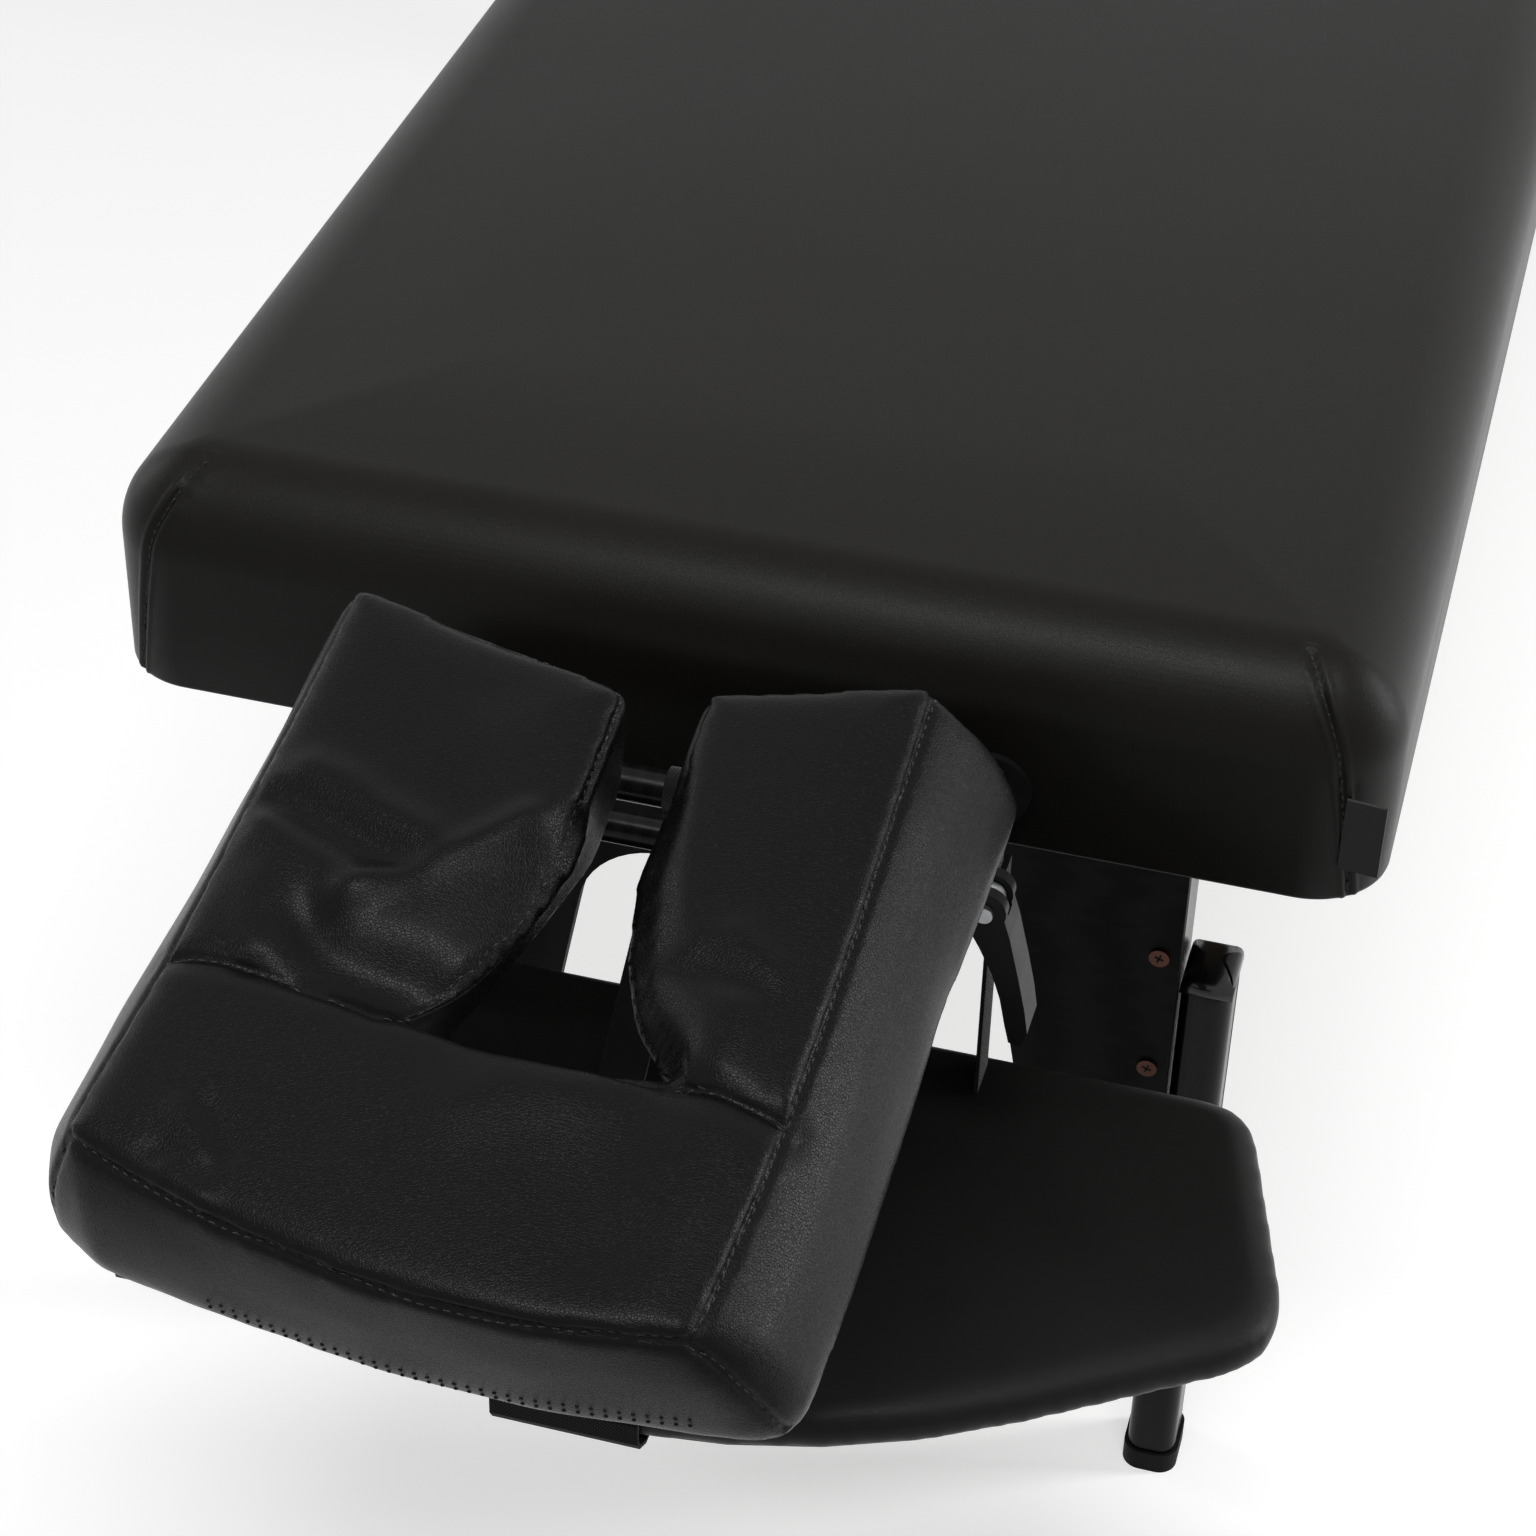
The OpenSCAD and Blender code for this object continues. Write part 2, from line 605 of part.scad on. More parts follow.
module pin_in_lever() {
  rod_y(lever_pin_r, lever_x, [-clamp_y - lever_hd - pin_out, -clamp_y + lever_hd + pin_out],
    clamp_z);
  rod_y(lever_pin_r + pin_rim, lever_x, [-clamp_y - lever_hd - pin_cap,
    -clamp_y - lever_hd - fit_gap], clamp_z);
  rod_y(lever_pin_r + pin_rim, lever_x, [-clamp_y + lever_hd + fit_gap,
    -clamp_y + lever_hd + pin_cap], clamp_z);
}
arm_dy = clamp_y - tilt_y;
arm_dz = tilt_z - clamp_z;
arm_l = sqrt(arm_dy * arm_dy + arm_dz * arm_dz);
arm_turn = atan2(arm_dz, arm_dy);
arm_low_r = arm_r * arm_round_share;
arm_high_r = arm_end_r * arm_round_share;
module arms() both_sides() difference() {
  translate([arm_out - arm_t, -clamp_y, clamp_z]) rotate([arm_turn, 0, 0])
    rotate([quarter_turn, 0, quarter_turn]) linear_extrude(arm_t)
      polygon(outline([[-arm_r, -arm_r], [arm_l + arm_end_r, -arm_end_r],
        [arm_l + arm_end_r, arm_end_r], [-arm_r, arm_r]],
        [arm_low_r, arm_high_r, arm_high_r, arm_low_r], 0, arc_steps));
  rod_x(bolt_r + run_gap, [0, half_w], -clamp_y, clamp_z);
  rod_x(pivot_pin_r + run_gap, [0, half_w], -tilt_y, tilt_z);
}
module spacer() difference() {
  rod_x(spacer_r, [arm_t - arm_out, arm_out - arm_t], -clamp_y, clamp_z);
  rod_x(bolt_r + run_gap, [-half_w, half_w], -clamp_y, clamp_z);
}
module tilt_pins() both_sides() {
  rod_x(pivot_pin_r, [arm_out - arm_t - pin_inset, plate_hw + fit_gap], -tilt_y, tilt_z);
  rod_x(pivot_head_r, [plate_hw + fit_gap, plate_hw + pin_head_t], -tilt_y, tilt_z);
}
// Face pillow's own plane: X across, Y towards the table, Z out of its top
module on_pillow() translate([pillow_x, -pillow_y, pillow_z]) rotate([pillow_tilt, 0, 0])
  children();
plate_top = -pillow_t - hook_t - pad_gap;
plate_back = 150;
plate_front = 120;
face_hole_x = [-55, 80];
face_hole_y = -90;
tilt_dy = pillow_y - tilt_y;
tilt_dz = tilt_z - pillow_z;
tilt_v = tilt_dy * cos(pillow_tilt) + tilt_dz * sin(pillow_tilt);
tilt_w = tilt_dz * cos(pillow_tilt) - tilt_dy * sin(pillow_tilt);
module face_plate(edge, z) difference() {
  box([-plate_hw + edge - pillow_x, plate_hw - edge - pillow_x],
    [-plate_back + edge, plate_front - edge], z);
  box([face_hole_x[0] - edge, face_hole_x[1] + edge], [face_hole_y - edge, plate_front + cut],
    [z[0] - cut, z[1] + cut]);
}
module tilt_plate() difference() {
  on_pillow() {
    face_plate(0, [plate_top - plate_t, plate_top]);
    for (s = [0, 1]) translate([-pillow_x, 0, 0]) mirror([s, 0, 0]) {
      box([lug_x, plate_hw], [tilt_v - plate_lug_r, tilt_v + plate_lug_r],
        [tilt_w, plate_top - plate_t]);
      rod_x(plate_lug_r, [lug_x, plate_hw], tilt_v, tilt_w);
    }
  }
  rod_x(pivot_pin_r + run_gap, [-half_w, half_w], -tilt_y, tilt_z);
}
module hook_layer() on_pillow() face_plate(hook_inset, [plate_top, plate_top + hook_t]);
// Corners of the pillow's top and of its base, counter-clockwise, as shares of the half width
// and half length: round the outside from the left end of the mouth, then back along the
// inside. Both runs have the same number of corners.
pillow_top_shares = [[-0.94, 0.916], [-0.944, 0.562], [-0.957, 0.253], [-0.962, 0], [-0.981,
  -0.365], [-1.03, -0.792], [-0.586, -0.904], [-0.045, -0.989], [0.451, -1.006], [0.932, -0.961],
  [0.981, -0.534], [1, -0.169], [1.008, 0.225], [1.005, 0.562], [1, 0.927], [0.293, 0.77], [0.293,
  0.472], [0.286, 0.23], [0.346, 0], [0.436, -0.157], [0.639, -0.315], [0.376, -0.348], [0.226,
  -0.351], [0.038, -0.346], [-0.271, -0.298], [-0.068, -0.157], [0.03, 0.011], [0.09, 0.23], [0.071,
  0.472], [0.06, 0.736]];
pillow_base_shares = [[-1.068, 0.882], [-1.075, 0.562], [-1.098, 0.253], [-1.128, 0], [-1.18,
  -0.337], [-1.188, -0.854], [-0.602, -0.927], [-0.045, -0.978], [0.451, -0.989], [1.203, -0.944],
  [1.229, -0.534], [1.239, -0.169], [1.237, 0.225], [1.267, 0.562], [1.282, 0.904], [0.338, 0.77],
  [0.346, 0.472], [0.361, 0.23], [0.421, 0.017], [0.511, -0.146], [0.692, -0.292], [0.391, -0.337],
  [0.226, -0.343], [0.038, -0.334], [-0.391, -0.287], [-0.226, -0.146], [-0.15, 0.017], [-0.068,
  0.23], [0.015, 0.472], [0.008, 0.747]];
soft_turn = 60;
mouth_turn = 30;
end_turn = 6;
front_turn = 12;
hole_turn = 4;
base_left_turn = 42;
base_right_turn = 20;
function pillow_turns(left, right) = [end_turn, for (i = [1:4]) soft_turn, left,
  for (i = [1:3]) soft_turn, right, for (i = [1:4]) soft_turn, end_turn,
  end_turn, for (i = [1:4]) mouth_turn, hole_turn, for (i = [1:3]) soft_turn, hole_turn,
  for (i = [1:4]) mouth_turn, end_turn];
function mix(a, b, share) = a + (b - a) * share;
// Ring of the pillow's side: how far it goes from the top's outline to the base's, and its inset
function pillow_ring(share, inset) = outline([for (i = [0:len(pillow_top_shares) - 1])
    let(p = mix(pillow_top_shares[i], pillow_base_shares[i], share))
    [p[0] * pillow_hw, p[1] * pillow_hl]],
  mix(pillow_turns(front_turn, front_turn), pillow_turns(base_left_turn, base_right_turn), share),
  inset, 2);
// Height share from base to top, share of the base's outline, inset as a share of the roll
pillow_side_shares = [[0, 1, 1], [0.06, 1, 0.2], [0.2, 0.97, 0], [0.45, 0.8, 0], [0.68, 0.55, 0],
  [0.88, 0.22, 0], [1, 0, 0]];
pillow_top_steps = [30, 60, 90];
pillow_stack = concat(
  [for (k = pillow_side_shares) [for (p = pillow_ring(k[1], k[2] * pillow_r))
    [p[0], p[1], -pillow_t + k[0] * (pillow_t - pillow_r)]]],
  [for (a = pillow_top_steps) [for (p = pillow_ring(0, pillow_r * (1 - cos(a))))
    [p[0], p[1], -pillow_r * (1 - sin(a))]]]);
module pillow() on_pillow() ring_solid(pillow_stack);

// Arm shelf and the straps that carry it
shelf_shares = [[-1.035, 0.541], [0, 1.24], [1.035, 0.541], [0.885, 0], [-0.885, 0]];
shelf_pts = [for (p = shelf_shares) [p[0] * shelf_hw, -shelf_back - p[1] * shelf_d]];
shelf_front_r = 1.188 * shelf_hw;
shelf_tip_r = 0.161 * shelf_d;
shelf_back_r = 0.1 * shelf_d;
shelf_radii = [shelf_tip_r, shelf_front_r, shelf_tip_r, shelf_back_r, shelf_back_r];
shelf_sweep = atan((shelf_pts[2][1] - shelf_pts[1][1]) / shelf_pts[2][0]);
shelf_lip = shelf_pts[1][1] + shelf_front_r * (1 / cos(shelf_sweep) - 1);
// Height share from the board up, and how far the ring is drawn in
shelf_round = 14;
shelf_ring_shares = [[0, 0.2], [0.2, 0], [0.6, 0], [0.8, 0.11], [0.94, 0.43], [1, 1]];
shelf_steps = 9;
shelf_low = -shelf_drop - shelf_pad_t;
module shelf_cushion() translate([shelf_x, 0, 0]) ring_solid([for (k = shelf_ring_shares)
  [for (p = outline(shelf_pts, shelf_radii, k[1] * shelf_round, shelf_steps))
    [p[0], p[1], shelf_low + k[0] * shelf_pad_t]]]);
module board() translate([shelf_x, 0, shelf_low - shelf_board_t]) linear_extrude(shelf_board_t)
  polygon(outline(shelf_pts, shelf_radii, board_inset, shelf_steps));
strap_y = 40;
module straps() {
  both_sides() {
    difference() {
      rod_y(post_r + seam_gap + strap_t, post_x, [-strap_y - strap_w / 2 + tie_r / 2,
        -strap_y + strap_w / 2 + tie_r / 2], post_z);
      rod_y(post_r + seam_gap, post_x, [-half_l, half_l], post_z);
      rod_x(tie_r + seam_gap, [0, post_x], -tie_y, post_z);
    }
    box([post_x + post_r + seam_gap, post_x + post_r + seam_gap + strap_t],
      [-strap_y - strap_w / 2 + tie_r / 2, -strap_y + strap_w / 2 + tie_r / 2],
      [-shelf_drop + seam_gap, post_z]);
  }
}
buckle_drop = 22;
buckle_h = 22;
module buckles() both_sides() box([post_x + post_r + seam_gap + strap_t,
  post_x + post_r + seam_gap + strap_t + buckle_t],
  [-strap_y - strap_w / 2, -strap_y + strap_w / 2 + tie_r],
  [post_z - buckle_drop - buckle_h, post_z - buckle_drop]);
// Strip of webbing along a path in the Y-Z plane, its thickness to the path's left
function beside(path, t) = let(n = len(path),
    sides = [for (i = [0:n - 2]) left_of(unit(path[i + 1] - path[i]))])
  [for (i = [0:n - 1]) let(a = sides[max(i - 1, 0)], b = sides[min(i, n - 2)])
    path[i] + (a + b) * t / (1 + a * b)];
module strip(x, w, path, t) let(outer = beside(path, t)) translate([x, 0, 0])
  rotate([quarter_turn, 0, quarter_turn]) linear_extrude(w)
    polygon(concat(path, [for (i = [len(path) - 1:-1:0]) outer[i]]));
front_strap_x = -12.5;
tab_x = -21;
tab_reach = 45;
lip_y = shelf_lip - seam_gap;
tab_top = -shelf_drop + seam_gap;
tab_low = shelf_low - shelf_board_t - seam_gap;
tab_path = concat([[lip_y + tab_reach, tab_low], [lip_y + board_inset, tab_low]],
  [for (k = shelf_ring_shares) [lip_y + k[1] * shelf_round,
    shelf_low + k[0] * shelf_pad_t + (k[0] < 0.5 ? -seam_gap : seam_gap)]],
  [[lip_y + tab_reach, tab_top]]);
tie_point = [-tie_y, post_z];
strap_end = [lip_y + tab_reach, tab_top + strap_t / 2 + seam_gap];
strap_way = unit(strap_end - tie_point);
strap_start = tie_point + strap_way * (tie_r + seam_gap + strap_t / 2);
module front_band() {
  difference() {
    rod_x(tie_r + seam_gap + strap_t, [front_strap_x, front_strap_x + strap_w], -tie_y, post_z);
    rod_x(tie_r + seam_gap, [-half_w, half_w], -tie_y, post_z);
  }
  strip(front_strap_x, strap_w, [for (p = [strap_start, strap_end])
    p - left_of(strap_way) * strap_t / 2], strap_t);
  strip(tab_x, tab_w, tab_path, strap_t);
}

// Stand the whole on the floor with the origin under the middle
min_y = -pillow_y + min([for (ring = pillow_stack) for (p = ring)
  p[1] * cos(pillow_tilt) - p[2] * sin(pillow_tilt)]);
mid_y = (2 * half_l + flange_t + min_y) / 2;
module place() translate([0, -mid_y, table_h]) children();

// One module for each piece
module head_cushion() color(vinyl) place() cushion();
module foot_cushion() color(vinyl) place() foot_end() cushion();
module head_skirt() color(vinyl) place() skirt();
module foot_skirt() color(vinyl) place() foot_end() skirt();
module head_deck() color(birch) place() deck();
module foot_deck() color(birch) place() foot_end() deck();
module head_side_rails() color(lacquer) place() side_rails();
module foot_side_rails() color(lacquer) place() foot_end() side_rails();
module head_cross_rails() color(lacquer) place() cross_rails();
module foot_cross_rails() color(lacquer) place() foot_end() cross_rails();
module head_sockets() color(black_steel) place() sockets();
module foot_sockets() color(black_steel) place() foot_end() sockets();
module head_leg_brackets() color(steel) place() leg_brackets();
module foot_leg_brackets() color(steel) place() foot_end() leg_brackets();
module head_pivot_pins() color(steel) place() pivot_pins();
module foot_pivot_pins() color(steel) place() foot_end() pivot_pins();
module head_hinge_leaves() color(steel) place() leaves([0, 2, 4], [1, 3]);
module foot_hinge_leaves() color(steel) place() foot_end() leaves([1, 3], [0, 2, 4]);
module head_upper_legs() color(lacquer) place() upper_legs();
module foot_upper_legs() color(lacquer) place() foot_end() upper_legs();
module head_end_panel() color(laminate) place() end_panel();
module foot_end_panel() color(laminate) place() foot_end() end_panel();
module head_leg_bar() color(lacquer) place() leg_bar();
module foot_leg_bar() color(lacquer) place() foot_end() leg_bar();
module head_panel_screws() color(copper) place() panel_screws();
module foot_panel_screws() color(copper) place() foot_end() panel_screws();
module head_guide_pins() color(steel) place() outer_guides();
module foot_guide_pins() color(steel) place() foot_end() inner_guides();
module head_lower_leg_left() color(lacquer) place() mirror([1, 0, 0]) lower_leg(lower_x, lower_y, lower_d);
module foot_lower_leg_left() color(lacquer) place() foot_end() mirror([1, 0, 0])
  lower_leg(inner_x, inner_y, inner_d);
module head_lower_leg_right() color(lacquer) place() lower_leg(lower_x, lower_y, lower_d);
module foot_lower_leg_right() color(lacquer) place() foot_end() lower_leg(inner_x, inner_y, inner_d);
module head_foot_left() color(soft_black) place() mirror([1, 0, 0]) foot_cap(lower_x, lower_y, lower_d);
module foot_foot_left() color(soft_black) place() foot_end() mirror([1, 0, 0])
  foot_cap(inner_x, inner_y, inner_d);
module head_foot_right() color(soft_black) place() foot_cap(lower_x, lower_y, lower_d);
module foot_foot_right() color(soft_black) place() foot_end() foot_cap(inner_x, inner_y, inner_d);
module head_knob_left() color(plastic) place() mirror([1, 0, 0]) outer_knob();
module foot_knob_left() color(plastic) place() foot_end() mirror([1, 0, 0]) inner_knob();
module head_knob_right() color(plastic) place() outer_knob();
module foot_knob_right() color(plastic) place() foot_end() inner_knob();
module hinge_pins() color(steel) place() hinge_rods();
module corner_tag() color(webbing) place() side_tag();
module cradle_posts() color(black_steel) place() posts();
module cradle_tie_bar() color(black_steel) place() tie_bar();
module clamp_bolt() color(steel) place() clamp_rod();
module clamp_washer() color(steel) place() washer();
module cam_lever() color(plastic) place() lever();
module lever_pin() color(steel) place() pin_in_lever();
module cradle_arms() color(black_steel) place() arms();
module spacer_tube() color(black_steel) place() spacer();
module platform_pins() color(steel) place() tilt_pins();
module platform() color(plastic) place() tilt_plate();
module hook_pad() color(soft_black) place() hook_layer();
module face_pillow() color(vinyl) place() pillow();
module shelf_board() color(lacquer) place() board();
module shelf_pad() color(vinyl) place() shelf_cushion();
module hanging_straps() color(webbing) place() straps();
module strap_buckles() color(plastic) place() buckles();
module front_strap() color(webbing) place() front_band();

head_cushion();
head_skirt();
head_deck();
head_side_rails();
head_cross_rails();
head_sockets();
head_leg_brackets();
head_pivot_pins();
head_hinge_leaves();
hinge_pins();
corner_tag();
head_upper_legs();
head_end_panel();
head_leg_bar();
head_panel_screws();
head_guide_pins();
head_lower_leg_left();
head_lower_leg_right();
head_foot_left();
head_foot_right();
head_knob_left();
head_knob_right();
foot_cushion();
foot_skirt();
foot_deck();
foot_side_rails();
foot_cross_rails();
foot_sockets();
foot_leg_brackets();
foot_pivot_pins();
foot_hinge_leaves();
foot_upper_legs();
foot_end_panel();
foot_leg_bar();
foot_panel_screws();
foot_guide_pins();
foot_lower_leg_left();
foot_lower_leg_right();
foot_foot_left();
foot_foot_right();
foot_knob_left();
foot_knob_right();
cradle_posts();
cradle_tie_bar();
clamp_bolt();
clamp_washer();
cam_lever();
lever_pin();
cradle_arms();
spacer_tube();
platform_pins();
platform();
hook_pad();
face_pillow();
shelf_board();
shelf_pad();
hanging_straps();
strap_buckles();
front_strap();
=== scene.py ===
"""Looks of a folding massage table: cover, face pillow, arm shelf, legs and studio."""

from __future__ import annotations

import logging
import math
from dataclasses import dataclass
from enum import Enum
from typing import Callable, Iterable, Sequence

import bmesh
import bpy
import numpy as np
from mathutils import Matrix, Vector
from mathutils.bvhtree import BVHTree


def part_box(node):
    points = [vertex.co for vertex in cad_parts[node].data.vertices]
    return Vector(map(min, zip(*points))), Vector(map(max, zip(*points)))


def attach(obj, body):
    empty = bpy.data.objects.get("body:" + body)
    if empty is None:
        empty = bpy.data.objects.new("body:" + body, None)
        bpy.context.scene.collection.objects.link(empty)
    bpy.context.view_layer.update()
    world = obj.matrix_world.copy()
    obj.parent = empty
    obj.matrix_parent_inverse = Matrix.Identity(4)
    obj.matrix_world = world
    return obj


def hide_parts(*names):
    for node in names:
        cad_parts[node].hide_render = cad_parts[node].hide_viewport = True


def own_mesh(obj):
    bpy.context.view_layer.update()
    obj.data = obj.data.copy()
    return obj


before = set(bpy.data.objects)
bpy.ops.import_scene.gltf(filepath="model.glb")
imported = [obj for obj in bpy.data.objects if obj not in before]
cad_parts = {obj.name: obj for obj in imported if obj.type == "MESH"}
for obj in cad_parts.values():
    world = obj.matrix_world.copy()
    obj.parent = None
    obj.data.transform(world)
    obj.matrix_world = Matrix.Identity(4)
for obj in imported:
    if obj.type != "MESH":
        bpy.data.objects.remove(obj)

LOG = logging.getLogger("massage_table")
MM = 0.001
# Reach of a weld, of a merge of doubled CAD vertices, a length too small to divide by,
# and a turn too slight to round.
TINY = 1e-6
MERGE = 1e-5
NOTHING = 1e-9
STRAIGHT = 1e-4
TABLE_TOP = 0.685
HEAD_END_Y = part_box("head_skirt")[0].y

Point = tuple[float, float, float]
Flat = tuple[tuple[float, float], ...]
Colour = tuple[float, float, float, float]


def shade(red: float, green: float, blue: float) -> Colour:
    """Return an opaque linear colour."""
    return (red, green, blue, 1.0)


def scaled(colour: Colour, share: float) -> Colour:
    """Return a colour times a share, opaque."""
    return shade(*(channel * share for channel in colour[:3]))


def table_point(x: float, y: float, z: float) -> Vector:
    """Turn millimetres from the padded head end into the row frame.

    Args:
        x: Millimetres across, from the middle.
        y: Millimetres from the head end towards the foot end.
        z: Millimetres above the padded top.

    Returns:
        The point in metres in the row frame.
    """
    return Vector((x * MM, y * MM + HEAD_END_Y, z * MM + TABLE_TOP))


# ----------------------------------------------------------------- shader trees


class ShaderTree:
    """A material or group tree with short calls for nodes and links."""

    def __init__(self, tree: bpy.types.NodeTree) -> None:
        """Keep the tree that later calls add to."""
        self.tree = tree

    def add(self, kind: str, **settings: object) -> bpy.types.Node:
        """Add a node and set its fields and inputs.

        Args:
            kind: Blender's name for the node type.
            **settings: Node fields, or inputs by name with spaces as underscores,
                each a value or the output that feeds it.

        Returns:
            The new node.
        """
        node = self.tree.nodes.new(kind)
        for key, value in settings.items():
            if not key[0].isupper():
                setattr(node, key, value)
            elif isinstance(value, bpy.types.NodeSocket):
                self.link(value, node.inputs[key.replace("_", " ")])
            else:
                node.inputs[key.replace("_", " ")].default_value = value
        return node

    def link(self, source: bpy.types.NodeSocket, target: bpy.types.NodeSocket) -> None:
        """Join an output to an input."""
        self.tree.links.new(source, target)

    def maths(
        self, operation: str, *values: float | bpy.types.NodeSocket, clamp: bool = False
    ) -> bpy.types.NodeSocket:
        """Add a Math node fed by numbers or sockets.

        Args:
            operation: The Math node's operation.
            *values: Up to three numbers or output sockets.
            clamp: Whether the result stays between 0 and 1.

        Returns:
            The Math node's output.
        """
        node = self.add("ShaderNodeMath", operation=operation, use_clamp=clamp)
        for slot, value in zip(node.inputs, values):
            if isinstance(value, (int, float)):
                slot.default_value = value
            else:
                self.link(value, slot)
        return node.outputs[0]

    def nudge(
        self, place: bpy.types.NodeSocket, by: bpy.types.NodeSocket, amount: float
    ) -> bpy.types.NodeSocket:
        """Shift coordinates by a colour times an amount in metres."""
        node = self.add("ShaderNodeVectorMath", operation="MULTIPLY_ADD")
        self.link(by, node.inputs[0])
        node.inputs[1].default_value = (amount,) * 3
        self.link(place, node.inputs[2])
        return node.outputs[0]

    def ramp(
        self, factor: bpy.types.NodeSocket, stops: Sequence[tuple[float, Colour]]
    ) -> bpy.types.NodeSocket:
        """Add a colour ramp from places between 0 and 1 with their colours."""
        node = self.add("ShaderNodeValToRGB", Fac=factor)
        for element, (place, colour) in zip(node.color_ramp.elements, stops):
            element.position = place
            element.color = colour
        return node.outputs["Color"]

    def spread(
        self, factor: bpy.types.NodeSocket, low: float, high: float
    ) -> bpy.types.NodeSocket:
        """Map a mask from 0..1 to low..high."""
        node = self.add("ShaderNodeMapRange", To_Min=low, To_Max=high, Value=factor)
        return node.outputs["Result"]

    def seen(self) -> bpy.types.NodeSocket:
        """Return 1 for camera, glossy and transmission rays and 0 for other light."""
        path = self.add("ShaderNodeLightPath").outputs
        seen = self.maths("MAXIMUM", path["Is Camera Ray"], path["Is Glossy Ray"])
        return self.maths("MAXIMUM", seen, path["Is Transmission Ray"])


def group_tree(
    name: str, scale: float, outputs: Iterable[str]
) -> tuple[ShaderTree, bpy.types.bpy_prop_collection, bpy.types.bpy_prop_collection]:
    """Start a shader node group that reads coordinates and a scale.

    Args:
        name: The group's name.
        scale: The scale's default.
        outputs: Names of the value outputs.

    Returns:
        The tree, what comes in and where results go out.
    """
    group = bpy.data.node_groups.new(name, "ShaderNodeTree")
    sides = [("Vector", "INPUT"), ("Scale", "INPUT")]
    for label, side in sides + [(output, "OUTPUT") for output in outputs]:
        kind = "NodeSocketVector" if label == "Vector" else "NodeSocketFloat"
        socket = group.interface.new_socket(name=label, in_out=side, socket_type=kind)
        if label == "Scale":
            socket.default_value = scale
    tree = ShaderTree(group)
    return tree, tree.add("NodeGroupInput").outputs, tree.add("NodeGroupOutput").inputs


def pebble_group() -> bpy.types.NodeTree:
    """Build the grain of embossed upholstery: flat pebbles between fine creases."""
    tree, start, end = group_tree("pebble_grain", 900.0, ("Height", "Crease"))
    place, scale = start["Vector"], start["Scale"]
    coarse = tree.maths("MULTIPLY", scale, 0.6)
    warp = tree.add("ShaderNodeTexNoise", Detail=2.0, Vector=place, Scale=coarse)
    place = tree.nudge(place, warp.outputs["Color"], 0.0012)
    cells = tree.add(
        "ShaderNodeTexVoronoi", feature="DISTANCE_TO_EDGE", Vector=place, Scale=scale
    )
    crease = tree.maths("SMOOTH_MIN", cells.outputs["Distance"], 0.16, 0.08)
    dense = tree.maths("MULTIPLY", scale, 2.2)
    fine = tree.add("ShaderNodeTexNoise", Detail=3.0, Vector=place, Scale=dense)
    height = tree.maths("MULTIPLY_ADD", fine.outputs["Fac"], 0.05, crease)
    tree.link(height, end["Height"])
    flat = tree.maths("MULTIPLY", crease, 6.0, clamp=True)
    tree.link(tree.maths("SUBTRACT", 1.0, flat), end["Crease"])
    return tree.tree


def handled_group() -> bpy.types.NodeTree:
    """Build the slow drift of sheen on a surface that hands and cloths rub."""
    tree, start, end = group_tree("handled_sheen", 6.0, ("Mask", "Streak"))
    place = start["Vector"]
    cloud = tree.add(
        "ShaderNodeTexNoise",
        Detail=4.0,
        Roughness=0.6,
        Vector=place,
        Scale=start["Scale"],
    )
    tree.link(tree.spread(cloud.outputs["Fac"], 0.0, 1.0), end["Mask"])
    wipe = tree.add("ShaderNodeMapping", Scale=(1.0, 9.0, 1.0), Vector=place)
    streak = tree.add(
        "ShaderNodeTexNoise", Detail=5.0, Scale=22.0, Vector=wipe.outputs["Vector"]
    )
    tree.link(streak.outputs["Fac"], end["Streak"])
    return tree.tree


def timber_group() -> bpy.types.NodeTree:
    """Build wood figure: long rings with pores, running along the chosen axis."""
    tree, start, end = group_tree("timber_figure", 30.0, ("Figure", "Pores"))
    place, scale = start["Vector"], start["Scale"]
    bend = tree.add("ShaderNodeTexNoise", Scale=4.0, Detail=3.0, Vector=place)
    place = tree.nudge(place, bend.outputs["Color"], 0.02)
    rings = tree.add(
        "ShaderNodeTexWave",
        bands_direction="X",
        Distortion=3.0,
        Detail=3.0,
        Vector=place,
        Scale=scale,
    )
    tree.link(rings.outputs["Fac"], end["Figure"])
    dense = tree.maths("MULTIPLY", scale, 22.0)
    pores = tree.add("ShaderNodeTexNoise", Detail=4.0, Vector=place, Scale=dense)
    tree.link(tree.maths("GREATER_THAN", pores.outputs["Fac"], 0.62), end["Pores"])
    return tree.tree


def weave_group() -> bpy.types.NodeTree:
    """Build a plain weave of ribs that cross under and over."""
    tree, start, end = group_tree("webbing_weave", 700.0, ("Height",))
    ribs = [
        tree.add(
            "ShaderNodeTexWave",
            bands_direction=direction,
            Distortion=0.4,
            Detail=1.0,
            Vector=start["Vector"],
            Scale=start["Scale"],
        ).outputs["Fac"]
        for direction in ("X", "DIAGONAL")
    ]
    tree.link(tree.maths("MULTIPLY", *ribs), end["Height"])
    return tree.tree


GROUP_BUILDERS: dict[str, Callable[[], bpy.types.NodeTree]] = {
    "pebble_grain": pebble_group,
    "handled_sheen": handled_group,
    "timber_figure": timber_group,
    "webbing_weave": weave_group,
}


